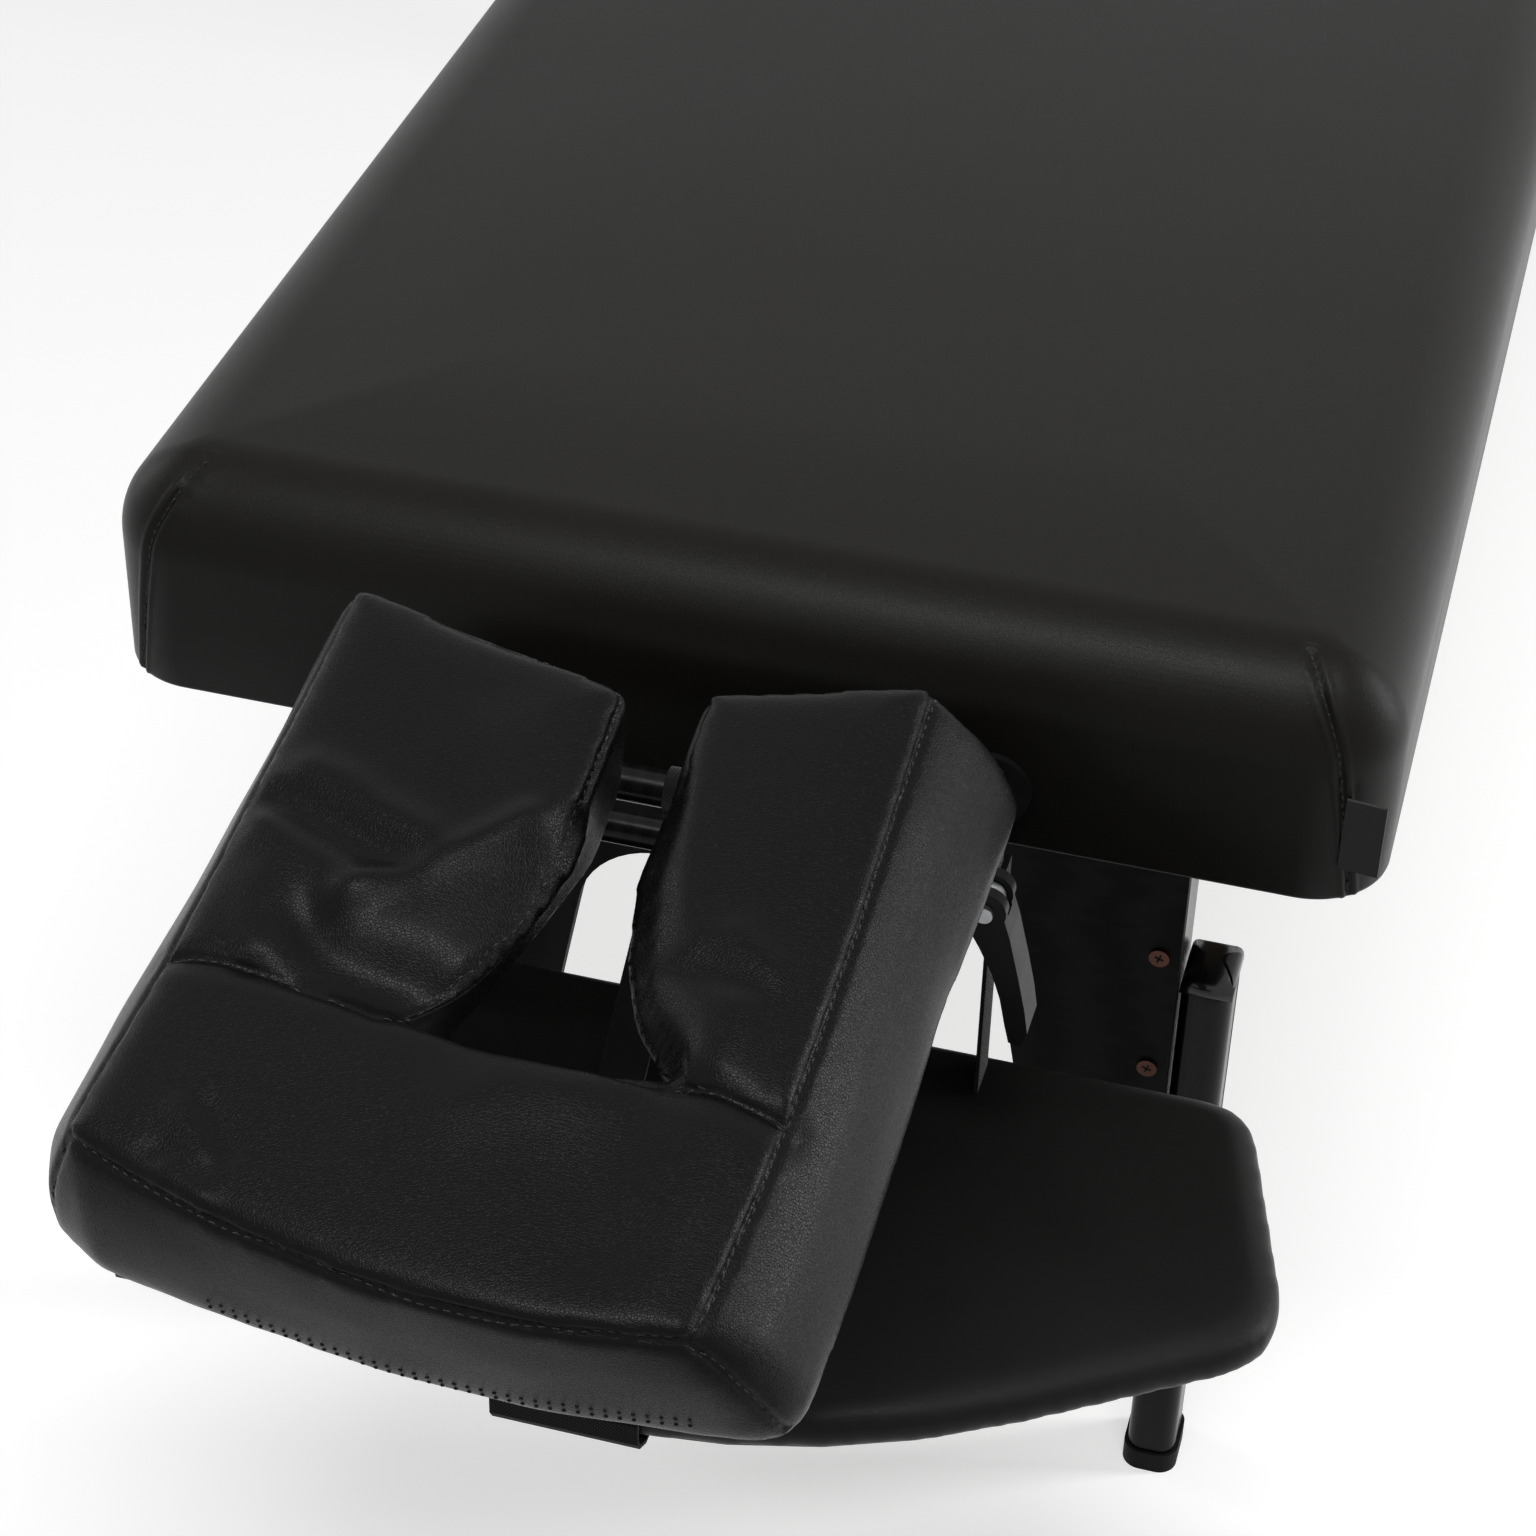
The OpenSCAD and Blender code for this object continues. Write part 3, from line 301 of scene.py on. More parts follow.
@dataclass(frozen=True)
class Surface:
    """A material in the making: its tree, Principled shader and Object coordinates."""

    tree: ShaderTree
    shader: bpy.types.Node
    place: bpy.types.NodeSocket

    def effect(
        self, name: str, place: bpy.types.NodeSocket | None = None, **inputs: float
    ) -> bpy.types.bpy_prop_collection:
        """Add a shared shader group.

        Args:
            name: The group's name.
            place: Coordinates for it, or None for the surface's own.
            **inputs: The group's other inputs.

        Returns:
            The group's outputs.
        """
        group = bpy.data.node_groups.get(name) or GROUP_BUILDERS[name]()
        inputs["Vector"] = self.place if place is None else place
        return self.tree.add("ShaderNodeGroup", node_tree=group, **inputs).outputs

    def stretched(self, scale: Point) -> bpy.types.NodeSocket:
        """Return the coordinates scaled along each axis."""
        node = self.tree.add("ShaderNodeMapping", Scale=scale, Vector=self.place)
        return node.outputs["Vector"]

    def tint(
        self, factor: bpy.types.NodeSocket, stops: Sequence[tuple[float, Colour]]
    ) -> None:
        """Let a mask move the colour between two stops."""
        self.tree.link(self.tree.ramp(factor, stops), self.shader.inputs["Base Color"])

    def polish(self, factor: bpy.types.NodeSocket, low: float, high: float) -> None:
        """Let a mask move the roughness from low to high."""
        spread = self.tree.spread(factor, low, high)
        self.tree.link(spread, self.shader.inputs["Roughness"])

    def bump(
        self,
        height: bpy.types.NodeSocket,
        strength: float,
        distance: float,
    ) -> None:
        """Link a bump into the shader.

        Args:
            height: What the bump reads.
            strength: Share of the bump that shows.
            distance: Height in metres of a full step.
        """
        node = self.tree.add(
            "ShaderNodeBump", Strength=strength, Distance=distance, Height=height
        )
        self.tree.link(node.outputs["Normal"], self.shader.inputs["Normal"])


# --------------------------------------------------------------------- finishes


@dataclass(frozen=True)
class Finish:
    """A surface finish that builds one Blender material."""

    name: str
    colour: Colour
    roughness: float = 0.5
    specular: float = 0.5
    metallic: float = 0.0

    def material(self) -> bpy.types.Material:
        """Return the finish's material, built on its first use."""
        found = bpy.data.materials.get(self.name)
        if found:
            return found
        made = bpy.data.materials.new(self.name)
        made.use_nodes = True
        made.diffuse_color = self.colour
        tree = ShaderTree(made.node_tree)
        shader = made.node_tree.nodes["Principled BSDF"]
        shader.inputs["Base Color"].default_value = self.colour
        shader.inputs["Roughness"].default_value = self.roughness
        shader.inputs["Specular IOR Level"].default_value = self.specular
        shader.inputs["Metallic"].default_value = self.metallic
        place = tree.add("ShaderNodeTexCoord").outputs["Object"]
        self.dress(Surface(tree, shader, place))
        return made

    def dress(self, surface: Surface) -> None:
        """Add what varies over the surface."""

    def tones(self, dark: float, light: float) -> list[tuple[float, Colour]]:
        """Return two ramp stops, the colour times dark and times light."""
        return [(0.25, scaled(self.colour, dark)), (0.75, scaled(self.colour, light))]


@dataclass(frozen=True)
class Upholstery(Finish):
    """Coated upholstery cloth with a fine pebble grain."""

    grain_scale: float = 1100.0
    grain_depth: float = 0.00072
    sheen_spread: float = 0.08

    def dress(self, surface: Surface) -> None:
        """Add grain, slow sheen changes and rougher creases."""
        tree = surface.tree
        grain = surface.effect("pebble_grain", Scale=self.grain_scale)
        mask = surface.effect("handled_sheen")["Mask"]
        surface.tint(mask, self.tones(0.82, 1.2))
        drift = tree.spread(
            mask, self.roughness - self.sheen_spread, self.roughness + self.sheen_spread
        )
        rough = tree.maths("MULTIPLY_ADD", grain["Crease"], 0.08, drift)
        tree.link(rough, surface.shader.inputs["Roughness"])
        surface.bump(grain["Height"], 1.0, self.grain_depth)


@dataclass(frozen=True)
class Lacquer(Finish):
    """Dark lacquer brushed over turned and planed wood."""

    coat: float = 0.6

    def dress(self, surface: Surface) -> None:
        """Let faint wood figure show through a clear coat with dust and rubs."""
        surface.shader.inputs["Coat Weight"].default_value = self.coat
        surface.shader.inputs["Coat Roughness"].default_value = 0.12
        along = surface.stretched((1.0, 1.0, 0.08))
        figure = surface.effect("timber_figure", along)["Figure"]
        mask = surface.effect("handled_sheen", Scale=14.0)["Mask"]
        surface.tint(figure, self.tones(0.8, 1.3))
        surface.polish(mask, self.roughness - 0.06, self.roughness + 0.12)
        surface.bump(figure, 0.25, 0.00012)


@dataclass(frozen=True)
class Timber(Finish):
    """Bare or laminated wood with its figure along the piece."""

    figure_scale: float = 30.0
    stretch: Point = (1.0, 1.0, 0.08)
    contrast: float = 0.3

    def dress(self, surface: Surface) -> None:
        """Add rings, pores and a soft change of sheen."""
        along = surface.stretched(self.stretch)
        wood = surface.effect("timber_figure", along, Scale=self.figure_scale)
        tone = surface.tree.maths(
            "MULTIPLY_ADD", wood["Pores"], -0.4, wood["Figure"], clamp=True
        )
        surface.tint(tone, self.tones(1 - self.contrast, 1 + self.contrast))
        surface.polish(tone, self.roughness + 0.1, self.roughness - 0.05)
        surface.bump(tone, 0.35, 0.0001)


@dataclass(frozen=True)
class Metal(Finish):
    """Plated or painted metal with fine scratches."""

    scratch: float = 0.12

    def dress(self, surface: Surface) -> None:
        """Add rubbed patches and hair scratches."""
        sheen = surface.effect("handled_sheen", Scale=60.0)
        surface.tint(sheen["Mask"], self.tones(0.75, 1.2))
        low, high = self.roughness - self.scratch, self.roughness + self.scratch
        surface.polish(sheen["Streak"], low, high)
        surface.bump(sheen["Streak"], 0.2, 0.00005)


@dataclass(frozen=True)
class Moulding(Finish):
    """Moulded plastic or rubber with a spark-eroded texture."""

    stipple_scale: float = 2600.0
    stipple_depth: float = 0.00006

    def dress(self, surface: Surface) -> None:
        """Add stipple and slow changes of colour and sheen."""
        stipple = surface.tree.add(
            "ShaderNodeTexNoise",
            Scale=self.stipple_scale,
            Detail=3.0,
            Roughness=0.65,
            Vector=surface.place,
        )
        mask = surface.effect("handled_sheen", Scale=35.0)["Mask"]
        surface.tint(mask, self.tones(0.8, 1.25))
        surface.polish(mask, self.roughness - 0.08, self.roughness + 0.08)
        surface.bump(stipple.outputs["Fac"], 0.5, self.stipple_depth)


@dataclass(frozen=True)
class Textile(Finish):
    """Woven webbing, looped fastening cloth or thread."""

    weave_scale: float = 260.0
    weave_depth: float = 0.0003

    def dress(self, surface: Surface) -> None:
        """Add the weave's ribs, with painted shade in the gaps and lighter rib tops,
        and a dusty sheen.
        """
        surface.shader.inputs["Sheen Weight"].default_value = 0.25
        surface.shader.inputs["Sheen Roughness"].default_value = 0.5
        height = surface.effect("webbing_weave", Scale=self.weave_scale)["Height"]
        # The weave's height also sets the colour: painted shade in the gaps and lighter
        # rib tops.
        surface.tint(height, self.tones(0.5, 1.4))
        surface.bump(height, 0.8, self.weave_depth)


@dataclass(frozen=True)
class FloorPaper(Finish):
    """White paper that throws little light back on the table."""

    bounce: float = 0.3
    glow: float = 0.5

    def dress(self, surface: Surface) -> None:
        """Keep the paper white to the camera and in gloss, and grey to other light."""
        tree, inputs = surface.tree, surface.shader.inputs
        seen = tree.seen()
        inputs["Emission Color"].default_value = shade(1.0, 1.0, 1.0)
        tree.link(tree.maths("MULTIPLY", seen, self.glow), inputs["Emission Strength"])
        grey = scaled(self.colour, self.bounce)
        surface.tint(seen, [(0.0, grey), (1.0, self.colour)])


WHITE = shade(0.72, 0.72, 0.72)
TOP_VINYL = Upholstery(
    "table_vinyl", shade(0.0055, 0.005, 0.0042), 0.32, 0.1, grain_depth=0.00024
)
PILLOW_LEATHER = Upholstery(
    "pillow_leather",
    shade(0.003, 0.0029, 0.0028),
    0.26,
    0.085,
    grain_scale=800.0,
    grain_depth=0.00036,
)
SHELF_VINYL = Upholstery(
    "shelf_vinyl", shade(0.008, 0.0078, 0.0075), 0.33, 0.1, grain_depth=0.00024
)
BLACK_LACQUER = Lacquer(
    "black_lacquer", shade(0.004, 0.004, 0.0042), 0.24, 0.08, coat=0.08
)
CAP_LACQUER = Lacquer("cap_lacquer", shade(0.005, 0.005, 0.0052), 0.24, 0.25, coat=0.25)
PANEL_LAMINATE = Timber(
    "panel_laminate",
    shade(0.0062, 0.0057, 0.0053),
    0.55,
    0.05,
    figure_scale=150.0,
    stretch=(0.05, 1.0, 1.0),
    contrast=0.1,
)
BIRCH = Timber(
    "birch_ply", shade(0.42, 0.29, 0.15), 0.55, 0.4, stretch=(1.0, 0.08, 1.0)
)
STEEL = Metal("zinc_steel", shade(0.42, 0.43, 0.44), 0.32, 0.5, 1.0)
BLACK_STEEL = Metal("blacked_steel", shade(0.008, 0.008, 0.0085), 0.25, 0.15)
COPPER_SCREW = Metal("copper_screw", shade(0.055, 0.024, 0.016), 0.36, 0.3, 0.8)
SOFT_RUBBER = Moulding("soft_rubber", shade(0.006, 0.006, 0.0062), 0.62, 0.1)
BLACK_MOULDING = Moulding("black_moulding", shade(0.0055, 0.0057, 0.0058), 0.4, 0.12)
# Painted shade: a dark colour for the shade inside the screws' cross recesses.
RECESS_SHADE = Moulding("screw_recess_shade", shade(0.008, 0.005, 0.004), 0.6, 0.1)
WEBBING = Textile("strap_webbing", shade(0.006, 0.006, 0.0062), 0.8, 0.06)
HOOK_CLOTH = Textile(
    "hook_cloth", shade(0.015, 0.015, 0.015), 0.9, 0.2, weave_scale=500.0
)
SEAM_THREAD = Textile(
    "seam_thread", shade(0.006, 0.0058, 0.0055), 0.5, 0.1, weave_scale=1500.0
)
TAG_CLOTH = Textile(
    "tag_cloth", shade(0.008, 0.008, 0.0085), 0.75, 0.12, weave_scale=900.0
)

# CAD nodes that both ends of the table have, without the end's name, and single ones.
END_NODES: dict[Finish, tuple[str, ...]] = {
    BIRCH: ("deck",),
    BLACK_LACQUER: (
        "side_rails",
        "cross_rails",
        "upper_legs",
        "leg_bar",
        "lower_leg_left",
        "lower_leg_right",
    ),
    BLACK_STEEL: ("sockets", "leg_brackets"),
    STEEL: ("pivot_pins", "hinge_leaves", "guide_pins"),
    PANEL_LAMINATE: ("end_panel",),
    COPPER_SCREW: ("panel_screws",),
    SOFT_RUBBER: ("foot_left", "foot_right"),
    BLACK_MOULDING: ("knob_left", "knob_right"),
}
SINGLE_NODES: dict[Finish, tuple[str, ...]] = {
    STEEL: ("hinge_pins", "clamp_bolt", "clamp_washer", "lever_pin", "platform_pins"),
    BLACK_LACQUER: (
        "cradle_posts",
        "cradle_tie_bar",
        "cradle_arms",
        "spacer_tube",
        "platform",
        "shelf_board",
    ),
    BLACK_MOULDING: ("cam_lever", "strap_buckles"),
    HOOK_CLOTH: ("hook_pad",),
    WEBBING: ("hanging_straps", "front_strap"),
    TAG_CLOTH: ("corner_tag",),
}


# ----------------------------------------------------------------- mesh helpers


def corner_arc(
    before: Vector, corner: Vector, after: Vector, radius: float, steps: int
) -> list[Vector]:
    """Round one corner of a flat outline.

    Args:
        before: The corner before it.
        corner: The corner to round.
        after: The corner after it.
        radius: Radius of the arc.
        steps: Pieces in the arc.

    Returns:
        Points of the arc, in order.
    """
    come, go = (corner - before).normalized(), (after - corner).normalized()
    turn = math.atan2(come.x * go.y - come.y * go.x, come.dot(go))
    if abs(turn) < STRAIGHT:
        return [corner] * (steps + 1)
    reach = abs(radius * math.tan(turn / 2))
    start = corner - come * reach
    side = math.copysign(1.0, turn)
    centre = start + Vector((-come.y, come.x)) * radius * side
    return [
        centre + Matrix.Rotation(turn * k / steps, 2) @ (start - centre)
        for k in range(steps + 1)
    ]


def rounded_outline(
    corners: Sequence[Vector], radii: Sequence[float], steps: int
) -> list[Vector]:
    """Round every corner of a flat counter-clockwise outline.

    Args:
        corners: The outline's corners.
        radii: Radius at each corner.
        steps: Pieces in each arc.

    Returns:
        The rounded outline's points.
    """
    count = len(corners)
    points: list[Vector] = []
    for i, corner in enumerate(corners):
        points += corner_arc(
            corners[i - 1], corner, corners[(i + 1) % count], radii[i], steps
        )
    return points


def add_loop(bm: bmesh.types.BMesh, points: Iterable[Vector]) -> list:
    """Add a closed loop of edges.

    Args:
        bm: Mesh that the loop joins.
        points: Places of its vertices, in order.

    Returns:
        The loop's edges.
    """
    verts = [bm.verts.new(p) for p in points]
    return [bm.edges.new((verts[i - 1], verts[i])) for i in range(len(verts))]


def loft(bm: bmesh.types.BMesh, rings: Sequence[Sequence[Vector]]) -> None:
    """Bridge a stack of loops into a closed skin with a flat cap at each end.

    Args:
        bm: Mesh that the skin joins.
        rings: Loops with equal numbers of points.
    """
    loops = [add_loop(bm, ring) for ring in rings]
    for low, high in zip(loops, loops[1:]):
        bmesh.ops.bridge_loops(bm, edges=low + high)
    bmesh.ops.edgenet_fill(bm, edges=loops[0])
    bmesh.ops.edgenet_fill(bm, edges=loops[-1])


def finish_mesh(
    bm: bmesh.types.BMesh, name: str, finish: Finish, smooth: bool = True
) -> bpy.types.Object:
    """Turn a bmesh into a dressed object with its faces pointing outwards.

    Args:
        bm: The mesh, which is freed.
        name: The object's name.
        finish: Its finish.
        smooth: Whether its faces are shaded smooth.

    Returns:
        The object, at the origin.
    """
    bmesh.ops.remove_doubles(bm, verts=bm.verts, dist=TINY)
    bmesh.ops.recalc_face_normals(bm, faces=bm.faces)
    mesh = bpy.data.meshes.new(name)
    bm.to_mesh(mesh)
    bm.free()
    mesh.polygons.foreach_set("use_smooth", [smooth] * len(mesh.polygons))
    mesh.materials.append(finish.material())
    piece = bpy.data.objects.new(name, mesh)
    bpy.context.scene.collection.objects.link(piece)
    return piece


def read_rows(mesh: bpy.types.Mesh, what: str) -> np.ndarray:
    """Return a mesh's vertex places, "co", or normals, "normal", as rows."""
    flat = np.empty(len(mesh.vertices) * 3, np.float32)
    mesh.vertices.foreach_get(what, flat)
    return flat.reshape(-1, 3).astype(np.float64)


def write_points(mesh: bpy.types.Mesh, points: np.ndarray) -> None:
    """Write a mesh's vertices from an array of rows."""
    mesh.vertices.foreach_set("co", points.astype(np.float32).ravel())
    mesh.update()


def bake(piece: bpy.types.Object) -> None:
    """Apply every modifier of a piece to its mesh."""
    graph = bpy.context.evaluated_depsgraph_get()
    graph.update()
    made = bpy.data.meshes.new_from_object(piece.evaluated_get(graph))
    old = piece.data
    piece.modifiers.clear()
    made.name = piece.name
    piece.data = made
    bpy.data.meshes.remove(old)
    piece.data.polygons.foreach_set("use_smooth", [True] * len(piece.data.polygons))


def line_distance(points: np.ndarray, line: np.ndarray) -> np.ndarray:
    """Measure how far points are from an open line.

    Args:
        points: Rows of points.
        line: Rows of the line's corners.

    Returns:
        Each point's distance.
    """
    best = np.full(len(points), np.inf)
    for start, stop in zip(line[:-1], line[1:]):
        step = np.linalg.norm(stop - start)
        way = (stop - start) / max(step, NOTHING)
        t = np.clip((points - start) @ way, 0, step)
        gap = np.linalg.norm(points - start - t[:, None] * way, axis=1)
        best = np.minimum(best, gap)
    return best


def smooth_line(corners: Sequence[Sequence[float]], count: int) -> np.ndarray:
    """Run a smooth curve through points.

    Args:
        corners: Points that the curve passes through.
        count: Points wanted along it.

    Returns:
        Rows of points, evenly spaced by corner.
    """
    rows = np.array(corners, float)
    pad = np.vstack([2 * rows[0] - rows[1], rows, 2 * rows[-1] - rows[-2]])
    out = []
    for place in np.linspace(0, len(rows) - 1 - NOTHING, count):
        i, t = int(place), place - int(place)
        a, b, c, d = pad[i : i + 4]
        square, cube = 2 * a - 5 * b + 4 * c - d, 3 * b - a - 3 * c + d
        out.append(0.5 * (2 * b + (c - a) * t + square * t * t + cube * t**3))
    return np.array(out)


def even_out(line: np.ndarray, rounds: int = 6) -> np.ndarray:
    """Take the jitter out of a line and keep its ends."""
    line = line.copy()
    for _ in range(rounds):
        line[1:-1] = 0.25 * line[:-2] + 0.5 * line[1:-1] + 0.25 * line[2:]
    return line


def open_mesh(mesh: bpy.types.Mesh, merge: bool = False) -> bmesh.types.BMesh:
    """Return an editable copy of a mesh, its doubled vertices merged if asked."""
    bm = bmesh.new()
    bm.from_mesh(mesh)
    if merge:
        bmesh.ops.remove_doubles(bm, verts=bm.verts, dist=MERGE)
    return bm


def skin_tree(piece: bpy.types.Object) -> BVHTree:
    """Return a search tree of a piece's faces."""
    bm = open_mesh(piece.data)
    tree = BVHTree.FromBMesh(bm)
    bm.free()
    return tree


def add_box(bm: bmesh.types.BMesh, place: Matrix, size: Vector) -> list:
    """Add a box of the given size at a place and return its vertices."""
    matrix = place @ Matrix.Diagonal(size).to_4x4()
    return bmesh.ops.create_cube(bm, size=1.0, matrix=matrix)["verts"]


@dataclass(frozen=True)
class StitchRun:
    """A row of sewn stitches laid on a surface."""

    length: float = 0.0034
    gap: float = 0.0014
    width: float = 0.0009
    rise: float = 0.0001

    def build(
        self, name: str, paths: Sequence[np.ndarray], skin: bpy.types.Object
    ) -> bpy.types.Object:
        """Lay stitches along paths on a skin.

        Args:
            name: The object's name.
            paths: Rows of points near the skin.
            skin: The piece that is sewn.

        Returns:
            One object with every stitch.
        """
        bm = bmesh.new()
        tree = skin_tree(skin)
        for path in paths:
            steps = np.linalg.norm(np.diff(path, axis=0), axis=1)
            reach = np.concatenate([[0], np.cumsum(steps)])
            place = self.gap
            while place + self.length < reach[-1]:
                ends = [
                    Vector([np.interp(at, reach, path[:, k]) for k in range(3)])
                    for at in (place, place + self.length)
                ]
                self.add_stitch(bm, tree, *ends)
                place += self.length + self.gap
        return finish_mesh(bm, name, SEAM_THREAD)

    def add_stitch(
        self, bm: bmesh.types.BMesh, tree: BVHTree, start: Vector, stop: Vector
    ) -> None:
        """Add one stitch between two points near the skin."""
        spots = [tree.find_nearest(start.lerp(stop, k / 4)) for k in range(5)]
        normal = sum((spot[1] for spot in spots), Vector()).normalized()
        middle = sum((spot[0] for spot in spots), Vector()) / len(spots)
        low, high = (p + normal * (middle - p).dot(normal) for p in (start, stop))
        way = (high - low).normalized()
        side = way.cross(normal).normalized()
        frame_matrix = Matrix((way, side, way.cross(side))).transposed().to_4x4()
        frame_matrix.translation = (low + high) / 2 + normal * self.rise
        made = bmesh.ops.create_icosphere(bm, subdivisions=1, radius=0.5)["verts"]
        size = Matrix.Diagonal((self.length, self.width, self.width * 0.8, 1.0))
        bmesh.ops.transform(bm, matrix=frame_matrix @ size, verts=made)


def copy_node(node: str, name: str, finish: Finish) -> bpy.types.Object:
    """Make a merged copy of a CAD node to work on.

    Args:
        node: The CAD node's name.
        name: The new piece's name.
        finish: Its finish.

    Returns:
        The new piece.
    """
    return finish_mesh(open_mesh(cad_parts[node].data, merge=True), name, finish)


def remesh(piece: bpy.types.Object, size: float) -> None:
    """Give a piece even faces of about the given size in metres."""
    modifier = piece.modifiers.new("even_faces", "REMESH")
    modifier.mode = "VOXEL"
    modifier.voxel_size = size
    bake(piece)


def relax(piece: bpy.types.Object, rounds: int) -> None:
    """Smooth a piece's vertices a few times."""
    bm = open_mesh(piece.data)
    for _ in range(rounds):
        bmesh.ops.smooth_vert(
            bm,
            verts=bm.verts,
            factor=0.5,
            use_axis_x=True,
            use_axis_y=True,
            use_axis_z=True,
        )
    bm.to_mesh(piece.data)
    bm.free()


def subdivide(piece: bpy.types.Object) -> None:
    """Add one level of subdivision to a piece and apply it."""
    modifier = piece.modifiers.new("finer", "SUBSURF")
    modifier.levels = modifier.render_levels = 1
    bake(piece)


def refine_near(
    piece: bpy.types.Object, line: np.ndarray, reach: float, size: float, rounds: int
) -> None:
    """Cut the edges near a line until they are short enough to carry a crease.

    Args:
        piece: The piece to cut finer.
        line: Rows of the line's corners.
        reach: How far from the line the cuts go.
        size: Length that the edges come down to.
        rounds: The most times that an edge is halved.
    """
    bm = open_mesh(piece.data)
    for _ in range(rounds):
        edges = [edge for edge in bm.edges if edge.calc_length() > size]
        if not edges:
            break
        middles = np.array([(e.verts[0].co + e.verts[1].co) / 2 for e in edges])
        away = line_distance(middles, line)
        near = [e for e, d in zip(edges, away) if d < reach + e.calc_length() / 2]
        bmesh.ops.subdivide_edges(bm, edges=near, cuts=1, use_grid_fill=True)
    bmesh.ops.triangulate(bm, faces=[f for f in bm.faces if len(f.verts) > 4])
    bm.to_mesh(piece.data)
    bm.free()


def hill(distance: np.ndarray, width: float) -> np.ndarray:
    """Return a smooth hill: 1 on a line and near 0 beyond twice the width."""
    return np.exp(-((distance / width) ** 2))


def ease(values: np.ndarray, low: float, high: float) -> np.ndarray:
    """Return a smooth step from 0 at low to 1 at high."""
    t = np.clip((values - low) / (high - low), 0.0, 1.0)
    return t * t * (3 - 2 * t)


def press_seam(
    piece: bpy.types.Object, line: np.ndarray, depth: float, width: float
) -> None:
    """Press a sewn groove with raised lips into a piece along a line.

    Args:
        piece: The piece that is sewn.
        line: Rows of points on its skin.
        depth: How deep the groove goes.
        width: Half the groove's width.
    """
    points, normals = (read_rows(piece.data, what) for what in ("co", "normal"))
    away = line_distance(points, line)
    lift = -depth * hill(away, width) + 0.35 * depth * hill(away - 2.6 * width, width)
    write_points(piece.data, points + normals * lift[:, None])


def slice_of_node(node: str, name: str, low: float, high: float) -> bpy.types.Object:
    """Make a closed webbing copy of the slice of a CAD node between two heights.

    Args:
        node: The CAD node's name.
        name: The new piece's name.
        low: Height in metres where the slice starts.
        high: Height in metres where it ends.

    Returns:
        The new piece.
    """
    bm = open_mesh(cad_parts[node].data, merge=True)
    for height, way in ((low, -1.0), (high, 1.0)):
        cut = bmesh.ops.bisect_plane(
            bm,
            geom=bm.verts[:] + bm.edges[:] + bm.faces[:],
            plane_co=(0.0, 0.0, height),
            plane_no=(0.0, 0.0, way),
            clear_outer=True,
        )
        rim = [e for e in cut["geom_cut"] if isinstance(e, bmesh.types.BMEdge)]
        if rim:
            bmesh.ops.edgenet_fill(bm, edges=rim)
    return finish_mesh(bm, name, WEBBING, smooth=False)


# ---------------------------------------------------------------- sub-assemblies


class TableEnd(Enum):
    """The two halves of the table."""

    HEAD = "head"
    FOOT = "foot"


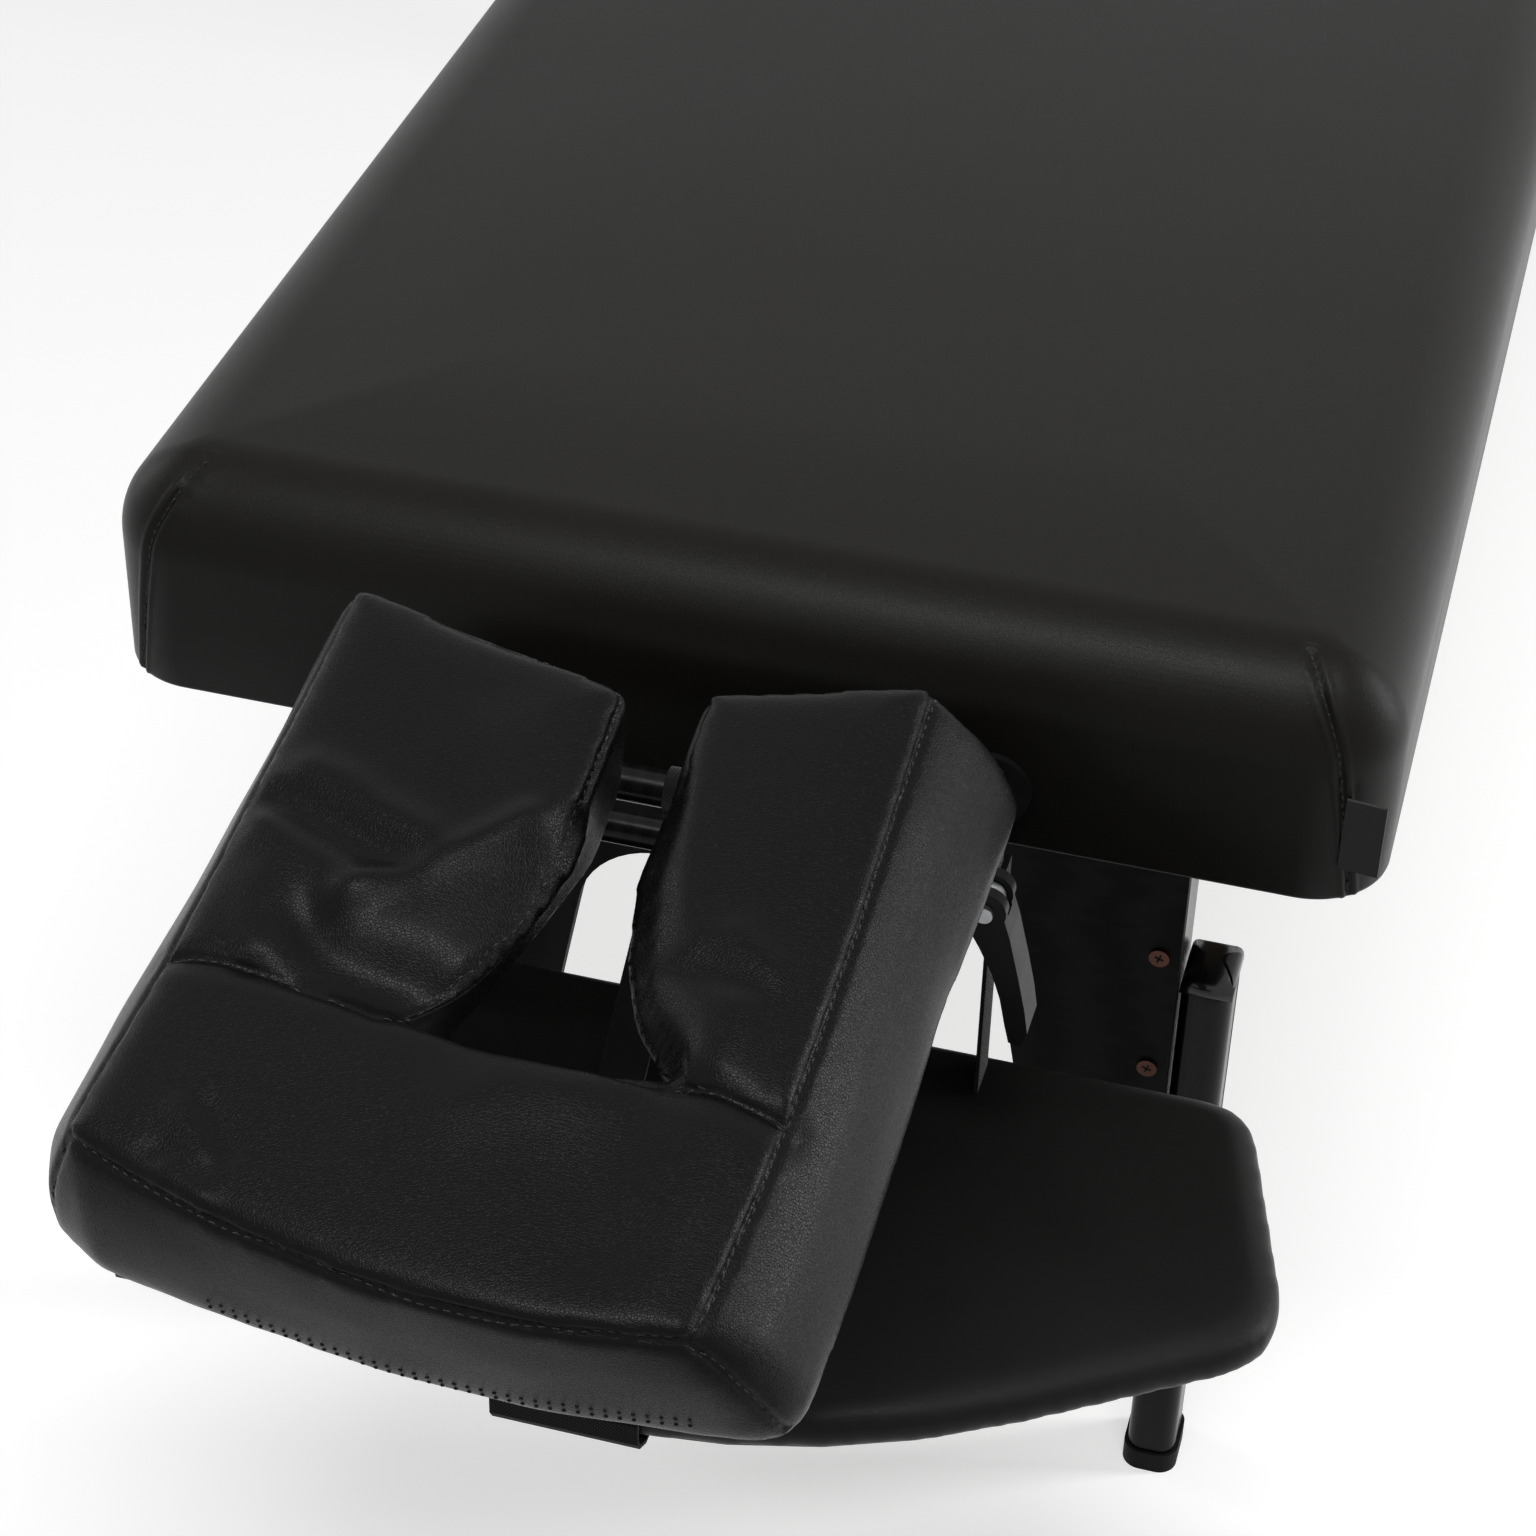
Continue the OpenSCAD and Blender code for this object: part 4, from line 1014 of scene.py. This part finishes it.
@dataclass
class PaddedHalf:
    """Upholstered top and skirt of one half, sewn as one cover, in millimetres."""

    end: TableEnd
    half_width: float = 317.5
    half_length: float = 926.0
    skirt: float = 6.0
    body: float = 121.7
    pad: float = 50.0
    pad_step: float = 0.5
    hem_turn: float = 1.4
    hem_rises: tuple[tuple[float, float], ...] = ((1.4, 0.0), (0.4, 0.6), (0.0, 2.0))
    tuck: float = 1.5
    roll: float = 48.0
    roll_steps: int = 24
    fold_roll: float = 20.0
    fold_gap: float = 0.4
    corner: float = 40.0
    least_corner: float = 6.0
    corner_steps: int = 24
    crown: float = 3.0
    crown_steps: int = 6
    crown_rolls: float = 2.2
    crown_reach: float = 60.0
    seam: tuple[Point, ...] = (
        (268.0, 31.0, -3.5),
        (273.0, 22.0, -8.0),
        (281.0, 10.0, -19.5),
        (288.0, 4.0, -34.0),
        (293.0, 2.5, -55.0),
        (296.5, 4.0, -75.0),
        (300.0, 6.0, -98.0),
        (303.0, 8.5, -120.0),
    )

    def placed(self, x: float, y: float, z: float) -> Vector:
        """Put a point of the head half on this half."""
        if self.end is TableEnd.FOOT:
            y = 2 * self.half_length - y
        return table_point(x, y, z)

    def ring(
        self, side: float, fold: float, height: float, wall: bool = False
    ) -> list[Vector]:
        """Return one loop round the half.

        Args:
            side: Inset from the two sides and the end.
            fold: Inset from the folding edge.
            height: Height above the padded top.
            wall: Whether the loop runs level with the pad's back at the fold.

        Returns:
            Points in the row frame.
        """
        x, y = self.half_width - side, self.half_length - self.fold_gap - fold
        corners = [Vector(p) for p in ((-x, side), (x, side), (x, y), (-x, y))]
        least = self.least_corner
        radius = max(self.corner - side, least)
        radii = (radius, radius, least, least)
        flat = rounded_outline(corners, radii, self.corner_steps)
        return [
            self.placed(
                p.x, p.y, -self.pad if wall and p.y > y - least - TINY else height
            )
            for p in flat
        ]

    def rings(self) -> list[list[Vector]]:
        """Return the loops of the tucked hem, wall, rolled edge and crown."""
        hem = [
            (self.skirt, -self.pad),
            (self.skirt, self.tuck - self.body),
            (self.skirt - self.hem_turn, -self.body),
        ]
        hem += [(inset, rise - self.body) for inset, rise in self.hem_rises]
        rings = [self.ring(inset, inset, height, wall=True) for inset, height in hem]
        rings.append(self.ring(0.0, 0.0, -self.pad + self.pad_step))
        for k in range(self.roll_steps + 1):
            angle = math.pi / 2 * k / self.roll_steps
            inset, height = 1 - math.cos(angle), math.sin(angle) - 1
            rings.append(
                self.ring(self.roll * inset, self.fold_roll * inset, self.roll * height)
            )
        for k in range(1, self.crown_steps + 1):
            share = k / self.crown_steps
            side = self.roll * (1 + self.crown_rolls * share)
            height = self.crown * math.sin(math.pi / 2 * share)
            rings.append(
                self.ring(side, self.fold_roll + self.crown_reach * share, height)
            )
        return rings

    def build(self) -> bpy.types.Object:
        """Build the cover with its rolled edges, crown and tucked hem."""
        bm = bmesh.new()
        loft(bm, self.rings())
        piece = finish_mesh(bm, f"{self.end.value}_cover", TOP_VINYL)
        for line in self.seam_lines():
            refine_near(piece, line, reach=0.006, size=0.0016, rounds=7)
            press_seam(piece, line, depth=0.0018, width=0.0014)
        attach(piece, f"{self.end.value}_half")
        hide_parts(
            f"{self.end.value}_cushion", f"{self.end.value}_skirt"
        )
        return piece

    def seam_lines(self) -> list[np.ndarray]:
        """Return the two corner seams as rows of points."""
        return [
            smooth_line([self.placed(sign * x, y, z) for x, y, z in self.seam], 80)
            for sign in (-1, 1)
        ]

    def sew(self, cover: bpy.types.Object) -> bpy.types.Object:
        """Lay the corner seams' stitches on the cover."""
        piece = StitchRun(width=0.0008, rise=0.0).build(
            f"{self.end.value}_corner_stitches", self.seam_lines(), cover
        )
        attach(piece, f"{self.end.value}_half")
        return piece


@dataclass(frozen=True)
class Fold:
    """A ridge or hollow in stuffed leather, in millimetres of the pillow's plane."""

    height: float
    width: float
    line: Flat


@dataclass
class FacePillow:
    """Horseshoe face pillow: three top panels sewn to a side band over loose stuffing.

    Sizes are millimetres of the pillow's own tilted plane; the voxel is in metres.
    """

    middle: Point = (-3.0, -292.0, 30.3)
    tilt: float = math.radians(11.46)
    thickness: float = 68.0
    fall_depth: float = 48.0
    voxel: float = 0.0036
    crown: float = 5.0
    crown_reach: float = 9.0
    cross_depth: float = 3.0
    cross_width: float = 7.0
    swell: float = 2.2
    ripple: float = 0.6
    groove: float = 1.8
    groove_width: float = 2.0
    rim_drop: float = 1.2
    lobe_split: float = 15.0
    right_drop: float = 15.0
    left_drop: float = 9.0
    left_slope: float = 1.09
    left_ridge: float = 14.0
    left_fade: tuple[float, float] = (-60.0, -44.0)
    right_fade: tuple[float, float] = (-62.0, -45.0)
    right_end: tuple[float, float] = (70.0, 112.0)
    edge_steps: int = 60
    # Left, front, right, right back, right inner, brow, left inner and left back edge.
    rims: tuple[Flat, ...] = (
        (
            (-125.0, 163.0), (-125.5, 100.0), (-127.3, 45.0), (-128.0, 0.0),
            (-130.5, -65.0), (-137.0, -141.0),
        ),
        (
            (-137.0, -141.0), (-78.0, -161.0), (-6.0, -176.0), (60.0, -179.0),
            (124.0, -171.0),
        ),
        (
            (124.0, -171.0), (130.5, -95.0), (133.0, -30.0), (134.0, 40.0),
            (133.7, 100.0), (133.0, 165.0),
        ),
        ((133.0, 165.0), (39.0, 137.0)),
        (
            (39.0, 137.0), (39.0, 84.0), (38.0, 41.0), (46.0, 0.0),
            (58.0, -28.0), (85.0, -56.0),
        ),
        ((85.0, -56.0), (50.0, -62.0), (30.0, -62.5), (5.0, -61.5), (-36.0, -53.0)),
        (
            (-36.0, -53.0), (-9.0, -28.0), (4.0, 2.0), (12.0, 41.0),
            (9.5, 84.0), (8.0, 131.0),
        ),
        ((8.0, 131.0), (-125.0, 163.0)),
    )
    right_inner: int = 4
    left_inner: int = 6
    unsewn_rims: tuple[int, int] = (4, 5)
    crosses: tuple[Flat, ...] = (
        ((-129.5, -49.7), (-102.0, -48.5), (-65.0, -51.5), (-36.0, -55.0)),
        ((82.4, -60.0), (102.5, -61.7), (131.5, -68.5)),
    )
    left_shoulder: Flat = (
        (-7.2, 57.0), (-14.8, 40.9), (-28.7, 27.7), (-40.8, 13.3),
        (-56.6, 1.4), (-68.2, -8.9), (-74.4, -16.3),
    )
    right_shoulder: Flat = (
        (49.6, 93.3), (58.1, 57.9), (66.3, 29.9), (72.7, 13.7), (79.9, 0.0),
        (91.0, -11.0), (91.9, -27.4), (88.5, -46.2), (82.7, -59.4),
    )
    corner_seams: tuple[tuple[Point, ...], ...] = (
        (
            (122.5, -170.0, -2.9), (131.0, -169.0, -13.8), (141.5, -168.0, -30.4),
            (151.5, -166.0, -49.2), (156.0, -164.0, -58.6),
        ),
        (
            (-138.0, -141.5, -2.9), (-141.0, -143.0, -16.0), (-146.0, -145.0, -34.0),
            (-152.0, -148.0, -56.0),
        ),
    )
    hem: tuple[Point, ...] = (
        (-77.6, -165.1, -52.0), (-51.8, -168.4, -53.5), (-13.9, -173.1, -55.4),
        (26.7, -175.1, -56.0), (70.5, -175.3, -53.5), (101.1, -172.8, -52.1),
        (123.9, -171.0, -49.9),
    )
    hem_gap: float = 4.5
    folds: tuple[Fold, ...] = (
        Fold(3.4, 11.0, ((-104.0, 52.0), (-88.0, 48.0), (-72.7, 39.5), (-50.0, 31.0))),
        Fold(-3.6, 9.0, ((-112.0, 36.0), (-88.5, 28.0), (-66.3, 19.5), (-50.0, 16.0))),
        Fold(3.0, 10.0, ((-112.0, 20.0), (-100.0, 13.0), (-84.0, 6.0), (-66.0, 0.0))),
        Fold(
            3.4, 8.0,
            ((-10.0, 50.0), (-26.0, 32.0), (-41.0, 17.0), (-58.0, 3.0), (-69.0, -7.0)),
        ),
        Fold(
            -7.0, 13.0,
            ((-79.0, -24.0), (-64.4, -35.0), (-50.0, -36.0), (-30.0, -36.0)),
        ),
        Fold(2.0, 11.0, ((-104.0, -8.0), (-96.0, -26.0), (-88.0, -40.0))),
        Fold(-2.2, 8.0, ((80.0, -4.0), (90.0, -9.5), (99.0, -12.0))),
        Fold(2.2, 9.0, ((88.0, 10.0), (98.0, 3.0), (106.0, -3.0))),
        Fold(2.6, 10.0, ((98.0, -22.0), (100.0, -34.0), (97.0, -48.0))),
        Fold(2.0, 6.5, ((-93.0, -121.0), (-85.0, -131.0), (-78.6, -139.0))),
        Fold(-2.0, 5.5, ((-84.0, -117.0), (-76.0, -127.0), (-69.0, -136.0))),
        Fold(1.8, 5.5, ((-89.0, -147.0), (-80.0, -152.5), (-72.9, -157.0))),
        Fold(-1.8, 5.5, ((-97.0, -141.0), (-88.0, -140.5), (-79.0, -146.0))),
        Fold(
            -3.6, 22.0,
            ((77.0, -66.0), (72.0, -90.0), (71.0, -115.0), (78.0, -140.0)),
        ),
        Fold(3.0, 18.0, ((12.2, -91.7), (24.9, -80.0), (48.0, -77.0))),
        Fold(-2.0, 9.0, ((116.0, -69.0), (122.0, -72.0), (128.0, -73.0))),
        Fold(-1.2, 5.0, ((122.0, 141.0), (121.0, 74.0), (121.5, 10.0), (119.5, -54.0))),
        Fold(-1.2, 5.0, ((119.0, -82.0), (116.0, -120.0), (112.0, -158.0))),
        Fold(-2.4, 24.0, ((-66.0, 158.0), (-54.0, 140.0), (-44.0, 120.0))),
    )

    def turn(self) -> np.ndarray:
        """Return the plane's three directions as rows."""
        c, s = math.cos(self.tilt), math.sin(self.tilt)
        return np.array([[1, 0, 0], [0, c, s], [0, -s, c]], float)

    def to_plane(self, points: np.ndarray) -> np.ndarray:
        """Turn row-frame metres into the plane's millimetres."""
        return (points - np.array(table_point(*self.middle))) @ self.turn().T / MM

    def from_plane(self, rows: np.ndarray) -> np.ndarray:
        """Turn the plane's millimetres into row-frame metres."""
        return rows @ self.turn() * MM + np.array(table_point(*self.middle))

    def seam_paths(self) -> list[np.ndarray]:
        """Return the rims, cross seams and corner seams as rows in the plane."""
        edges = [(edge, -self.rim_drop) for edge in self.rims]
        edges += [(edge, 0.0) for edge in self.crosses]
        paths = [
            np.column_stack(
                [smooth_line(edge, self.edge_steps), np.full(self.edge_steps, level)]
            )
            for edge, level in edges
        ]
        return paths + [smooth_line(edge, 40) for edge in self.corner_seams]

    def build(self) -> bpy.types.Object:
        """Build the stuffed cover from the CAD solid's form."""
        piece = copy_node("face_pillow", "face_pillow_cover", PILLOW_LEATHER)
        remesh(piece, self.voxel)
        relax(piece, 5)
        self.stuff(piece)
        for path in self.seam_paths():
            line = self.from_plane(path)
            refine_near(piece, line, reach=0.0028, size=0.0015, rounds=2)
        self.draw_seams(piece)
        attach(piece, "face_rest")
        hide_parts("face_pillow")
        return piece

    def stuff(self, piece: bpy.types.Object) -> None:
        """Crown the panels, let the lobes fall to the opening and press the folds."""
        rows = self.to_plane(read_rows(piece.data, "co"))
        normals = read_rows(piece.data, "normal") @ self.turn().T
        flat, level = rows[:, :2], rows[:, 2].copy()
        top = ease(normals[:, 2], 0.3, 0.8)
        wall = ease(1 - np.abs(normals[:, 2]), 0.3, 0.8)
        depth = np.clip(1 + level / self.fall_depth, 0.0, 1.0)
        fall = depth * (self.right_fall(flat) + self.left_fall(flat))
        rows[:, 2] += self.panel_lift(flat) * top - fall
        share = np.clip(-rows[:, 2] / self.thickness, 0.0, 1.0)
        bulge = (self.swell + self.ripple * self.ripples(rows)) * np.sin(np.pi * share)
        rows += normals * (bulge * wall)[:, None] * np.array([1.0, 1.0, 0.3])
        write_points(piece.data, self.from_plane(rows))

    def panel_lift(self, flat: np.ndarray) -> np.ndarray:
        """Return how far crowns, cross seams and folds lift the top."""
        lines = [smooth_line(edge, self.edge_steps) for edge in self.rims]
        rim = np.min([line_distance(flat, line) for line in lines], axis=0)
        lift = self.crown * (1 - np.exp(-rim / self.crown_reach))
        for cross in self.crosses:
            away = line_distance(flat, np.array(cross))
            sunk = self.cross_depth * hill(away, self.cross_width)
            lift -= sunk * ease(rim, 0.0, 5.0)
        for fold in self.folds:
            away = line_distance(flat, np.array(fold.line))
            lift += fold.height * hill(away, fold.width)
        return lift

    @staticmethod
    def ripples(rows: np.ndarray) -> np.ndarray:
        """Return slow waves over the side band, between -1 and 1."""
        x, y, z = rows.T
        across = np.sin(x / 11.0 + 2.0 * np.sin(z / 19.0))
        along = np.sin(y / 13.0 + 1.6 * np.sin(z / 15.0))
        return 0.5 * across + 0.5 * along

    def right_fall(self, flat: np.ndarray) -> np.ndarray:
        """Return how far the right lobe falls from its shoulder to the opening."""
        across, along = flat[:, 0], flat[:, 1]
        outer_x, inner_x = (
            np.interp(along, line[:, 1], line[:, 0])
            for line in (
                np.array(self.right_shoulder)[::-1],
                np.array(self.rims[self.right_inner])[::-1],
            )
        )
        share = (outer_x - across) / np.maximum(outer_x - inner_x, 4.0)
        fade = ease(along, *self.right_fade) * (1 - ease(along, *self.right_end))
        fade = fade * (across > self.lobe_split)
        return self.right_drop * ease(np.clip(share, 0, 1.15), 0.0, 1.3) * fade

    def left_fall(self, flat: np.ndarray) -> np.ndarray:
        """Return how far the left lobe falls from its ridge to the opening."""
        ridge = line_distance(flat, np.array(self.left_shoulder))
        inner = line_distance(flat, np.array(self.rims[self.left_inner]))
        start_x, start_y = self.left_shoulder[0]
        below = flat[:, 1] - start_y - self.left_slope * (flat[:, 0] - start_x)
        share = ridge / np.maximum(ridge + inner, 1.0)
        fade = ease(-below, 0.0, self.left_ridge) * ease(flat[:, 1], *self.left_fade)
        near = flat[:, 0] < self.lobe_split
        return self.left_drop * ease(share, 0.0, 1.0) * fade * near

    def draw_seams(self, piece: bpy.types.Object) -> None:
        """Pull the skin in along every seam."""
        points = read_rows(piece.data, "co")
        lift = np.zeros(len(points))
        for path in self.sewn_lines(piece):
            away = line_distance(points, path)
            groove = self.groove * MM * hill(away, self.groove_width * MM)
            lift = np.minimum(lift, -groove)
        normals = read_rows(piece.data, "normal")
        write_points(piece.data, points + normals * lift[:, None])

    def sewn_lines(self, piece: bpy.types.Object) -> list[np.ndarray]:
        """Return the seams laid on the stuffed skin, in metres."""
        tree = skin_tree(piece)
        lines = []
        for path in self.seam_paths():
            spots = [tree.find_nearest(Vector(p))[0] for p in self.from_plane(path)]
            lines.append(even_out(np.array(spots)))
        return lines

    def sew(self, piece: bpy.types.Object) -> None:
        """Lay the seams' stitches and the two rows along the front hem."""
        seams = [
            line
            for k, line in enumerate(self.sewn_lines(piece))
            if k not in self.unsewn_rims
        ]
        rows = smooth_line(self.hem, 80)
        hems = [
            self.from_plane(rows + np.array([0.0, 0.0, shift]))
            for shift in (0.0, -self.hem_gap)
        ]
        seam_run = StitchRun(length=0.0038, gap=0.0014, width=0.0008, rise=0.0001)
        hem_run = StitchRun(length=0.0020, gap=0.0034, width=0.0012, rise=0.0002)
        for sewn in (
            seam_run.build("pillow_seam_stitches", seams, piece),
            hem_run.build("pillow_hem_stitches", hems, piece),
        ):
            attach(sewn, "face_rest")


@dataclass
class ShelfStraps:
    """Webbing of the shelf: loops and runs cut as separate pieces, and the tab."""

    cut: float = 0.578
    travel: float = 0.05
    over: float = 0.001
    webbing: float = 0.0012

    def build(self) -> list[bpy.types.Object]:
        """Build the two side straps and the front strap, each in its parts."""
        shelf_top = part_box("hanging_straps")[0].z
        tab_top = shelf_top + self.over + self.webbing
        floors = {"hanging_straps": shelf_top - self.over, "front_strap": tab_top}
        made = []
        for node, floor in floors.items():
            loop = slice_of_node(node, f"{node}_loops", self.cut, 1.0)
            run = slice_of_node(node, f"{node}_runs", floor, self.cut)
            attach(run, "cradle")
            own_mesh(run)
            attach(loop, "cradle")
            for piece in (loop, run):
                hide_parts(node)
            made += [loop, run]
        tab = slice_of_node("front_strap", "front_strap_tab", 0.0, tab_top)
        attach(tab, "shelf")
        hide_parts("front_strap")
        return made + [tab]


@dataclass
class LegCaps:
    """Bullnose tops of the sliding lower legs."""

    proud: float = 0.0003
    height: float = 0.0128
    nose: float = 0.0125
    steps: int = 6

    def build(self) -> list[bpy.types.Object]:
        """Build one rounded cap on each lower leg."""
        made = []
        for end in TableEnd:
            for side in ("left", "right"):
                low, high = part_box(f"{end.value}_lower_leg_{side}")
                low = Vector((low.x, low.y, high.z - self.height))
                size = high - low + 2 * Vector((self.proud,) * 3)
                bm = bmesh.new()
                verts = add_box(bm, Matrix.Translation((low + high) / 2), size)
                top = max(v.co.z for v in verts)
                rim = [e for e in bm.edges if all(top - v.co.z < TINY for v in e.verts)]
                bmesh.ops.bevel(
                    bm,
                    geom=rim,
                    offset=self.nose,
                    segments=self.steps,
                    profile=0.5,
                    affect="EDGES",
                    material=-1,
                )
                cap = finish_mesh(bm, f"{end.value}_leg_cap_{side}", CAP_LACQUER)
                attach(cap, f"{end.value}_leg_{side}")
                made.append(cap)
        return made


@dataclass
class ScrewRecessShades:
    """Dark crosses on the end panels' screws: painted shade standing for the shade in
    their cross recesses.
    """

    width: float = 0.0011
    reach: float = 0.0052
    depth: float = 0.0006
    turns: tuple[float, float] = (20.0, 110.0)

    def build(self) -> list[bpy.types.Object]:
        """Build a dark cross of painted shade at the middle of each screw's head."""
        made = []
        size = Vector((self.reach, self.depth, self.width))
        for end in TableEnd:
            bm = bmesh.new()
            for low, high in self.heads(f"{end.value}_panel_screws"):
                middle = (low + high) / 2
                middle.y = low.y if end is TableEnd.HEAD else high.y
                for turn in self.turns:
                    spin = Matrix.Rotation(math.radians(turn), 4, "Y")
                    add_box(bm, Matrix.Translation(middle) @ spin, size)
            piece = finish_mesh(bm, f"{end.value}_screw_recess_shades", RECESS_SHADE, smooth=False)
            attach(piece, f"{end.value}_leg_frame")
            made.append(piece)
        return made

    @staticmethod
    def heads(node: str) -> list[tuple[Vector, Vector]]:
        """Return the box of each separate screw of a node."""
        bm = open_mesh(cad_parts[node].data, merge=True)
        left, boxes = set(bm.verts), []
        while left:
            group, reach = set(), [next(iter(left))]
            while reach:
                vert = reach.pop()
                if vert not in group:
                    group.add(vert)
                    reach += [e.other_vert(vert) for e in vert.link_edges]
            left -= group
            spots = np.array([v.co for v in group])
            boxes.append((Vector(spots.min(axis=0)), Vector(spots.max(axis=0))))
        bm.free()
        return sorted(boxes, key=lambda box: tuple(box[0]))


@dataclass
class ArmShelf:
    """Hanging padded shelf for the forearms."""

    voxel: float = 0.005

    def build(self) -> bpy.types.Object:
        """Build the shelf's padded cover from the CAD solid's form."""
        piece = copy_node("shelf_pad", "arm_shelf_cover", SHELF_VINYL)
        remesh(piece, self.voxel)
        relax(piece, 6)
        subdivide(piece)
        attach(piece, "shelf")
        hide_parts("shelf_pad")
        return piece


class Framework:
    """Finishes for the CAD nodes that stay as they are."""

    def dress(self) -> int:
        """Put a finish on every carried-over node and return how many."""
        pairs = [(name, look) for look, names in SINGLE_NODES.items() for name in names]
        for end in TableEnd:
            for look, names in END_NODES.items():
                pairs += [(f"{end.value}_{name}", look) for name in names]
        for name, look in pairs:
            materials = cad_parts[name].data.materials
            materials.clear()
            materials.append(look.material())
        return len(pairs)


@dataclass(frozen=True)
class SoftBox:
    """A rectangular studio lamp."""

    name: str
    place: Point
    aim: Point
    width: float
    height: float
    power: float

    def build(self) -> None:
        """Hang the lamp and turn it towards its aim."""
        lamp = bpy.data.lights.new(self.name, "AREA")
        lamp.shape = "RECTANGLE"
        lamp.size = self.width
        lamp.size_y = self.height
        lamp.energy = self.power
        hung = bpy.data.objects.new(self.name, lamp)
        hung.location = self.place
        way = Vector(self.aim) - Vector(self.place)
        hung.rotation_euler = way.to_track_quat("-Z", "Y").to_euler()
        bpy.context.scene.collection.objects.link(hung)


@dataclass
class Studio:
    """Camera, floor, world and lamps."""

    camera_place: Point = (0.37491, HEAD_END_Y - 1.35219, 1.66209)
    camera_right: Point = (0.96316, 0.26803, 0.02186)
    camera_down: Point = (0.18064, -0.58462, -0.79094)
    camera_forward: Point = (-0.19921, 0.76575, -0.61150)
    focal_length: float = 86.73
    sensor: float = 36.0
    farthest: float = 60.0
    floor_reach: float = 14.0
    world_glow: float = 0.16
    lamps: tuple[SoftBox, ...] = (
        SoftBox("overhead", (0.2, -1.75, 3.3), (0.0, -0.6, 0.6), 1.7, 0.9, 62.0),
        SoftBox("right_window", (3.2, 0.6, 1.6), (0.0, 0.0, 0.6), 0.8, 2.6, 80.0),
        SoftBox("left_window", (-3.2, 0.2, 1.7), (0.0, 0.0, 0.6), 0.8, 2.2, 20.0),
    )

    def build(self) -> None:
        """Set up everything that isn't part of the table."""
        self.place_camera()
        self.lay_floor()
        self.light_world()
        for lamp in self.lamps:
            lamp.build()
        bpy.context.scene.view_settings.view_transform = "Standard"

    def place_camera(self) -> None:
        """Stand the camera where the photograph was taken."""
        lens = bpy.data.cameras.new("camera")
        lens.sensor_fit = "HORIZONTAL"
        lens.sensor_width = self.sensor
        lens.lens = self.focal_length
        lens.clip_end = self.farthest
        camera = bpy.data.objects.new("camera", lens)
        up, back = (
            [-v for v in way] for way in (self.camera_down, self.camera_forward)
        )
        turn = Matrix((self.camera_right, up, back)).transposed()
        camera.matrix_world = Matrix.Translation(self.camera_place) @ turn.to_4x4()
        bpy.context.scene.collection.objects.link(camera)
        bpy.context.scene.camera = camera

    def lay_floor(self) -> None:
        """Lay a pale floor that looks white to the camera outside the shadow."""
        bm = bmesh.new()
        bmesh.ops.create_grid(bm, x_segments=1, y_segments=1, size=self.floor_reach)
        floor = finish_mesh(bm, "floor", FloorPaper("floor_paper", WHITE, 0.9, 0.2))

    def light_world(self) -> None:
        """Make the world white to the camera and in gloss, dimmer as a lamp."""
        world = bpy.data.worlds.new("studio")
        world.use_nodes = True
        bpy.context.scene.world = world
        tree = ShaderTree(world.node_tree)
        back = world.node_tree.nodes["Background"].inputs
        back["Color"].default_value = shade(1.0, 1.0, 1.0)
        tree.link(tree.spread(tree.seen(), self.world_glow, 1.0), back["Strength"])


def main() -> None:
    """Build the table's looks and the studio, piece by piece."""
    logging.basicConfig(level=logging.INFO, format="%(name)s: %(message)s")
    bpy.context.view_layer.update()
    Studio().build()
    LOG.info("finished %d CAD nodes", Framework().dress())
    for end in TableEnd:
        half = PaddedHalf(end)
        cover = half.build()
        half.sew(cover)
        LOG.info("%s cover: %d faces", end.value, len(cover.data.polygons))
    face_pillow = FacePillow()
    pillow = face_pillow.build()
    face_pillow.sew(pillow)
    LOG.info("face pillow: %d faces", len(pillow.data.polygons))
    shelf = ArmShelf().build()
    LOG.info("arm shelf: %d faces", len(shelf.data.polygons))
    for piece in ShelfStraps().build() + LegCaps().build() + ScrewRecessShades().build():
        LOG.info("%s: %d faces", piece.name, len(piece.data.polygons))


if __name__ == "__main__":
    main()
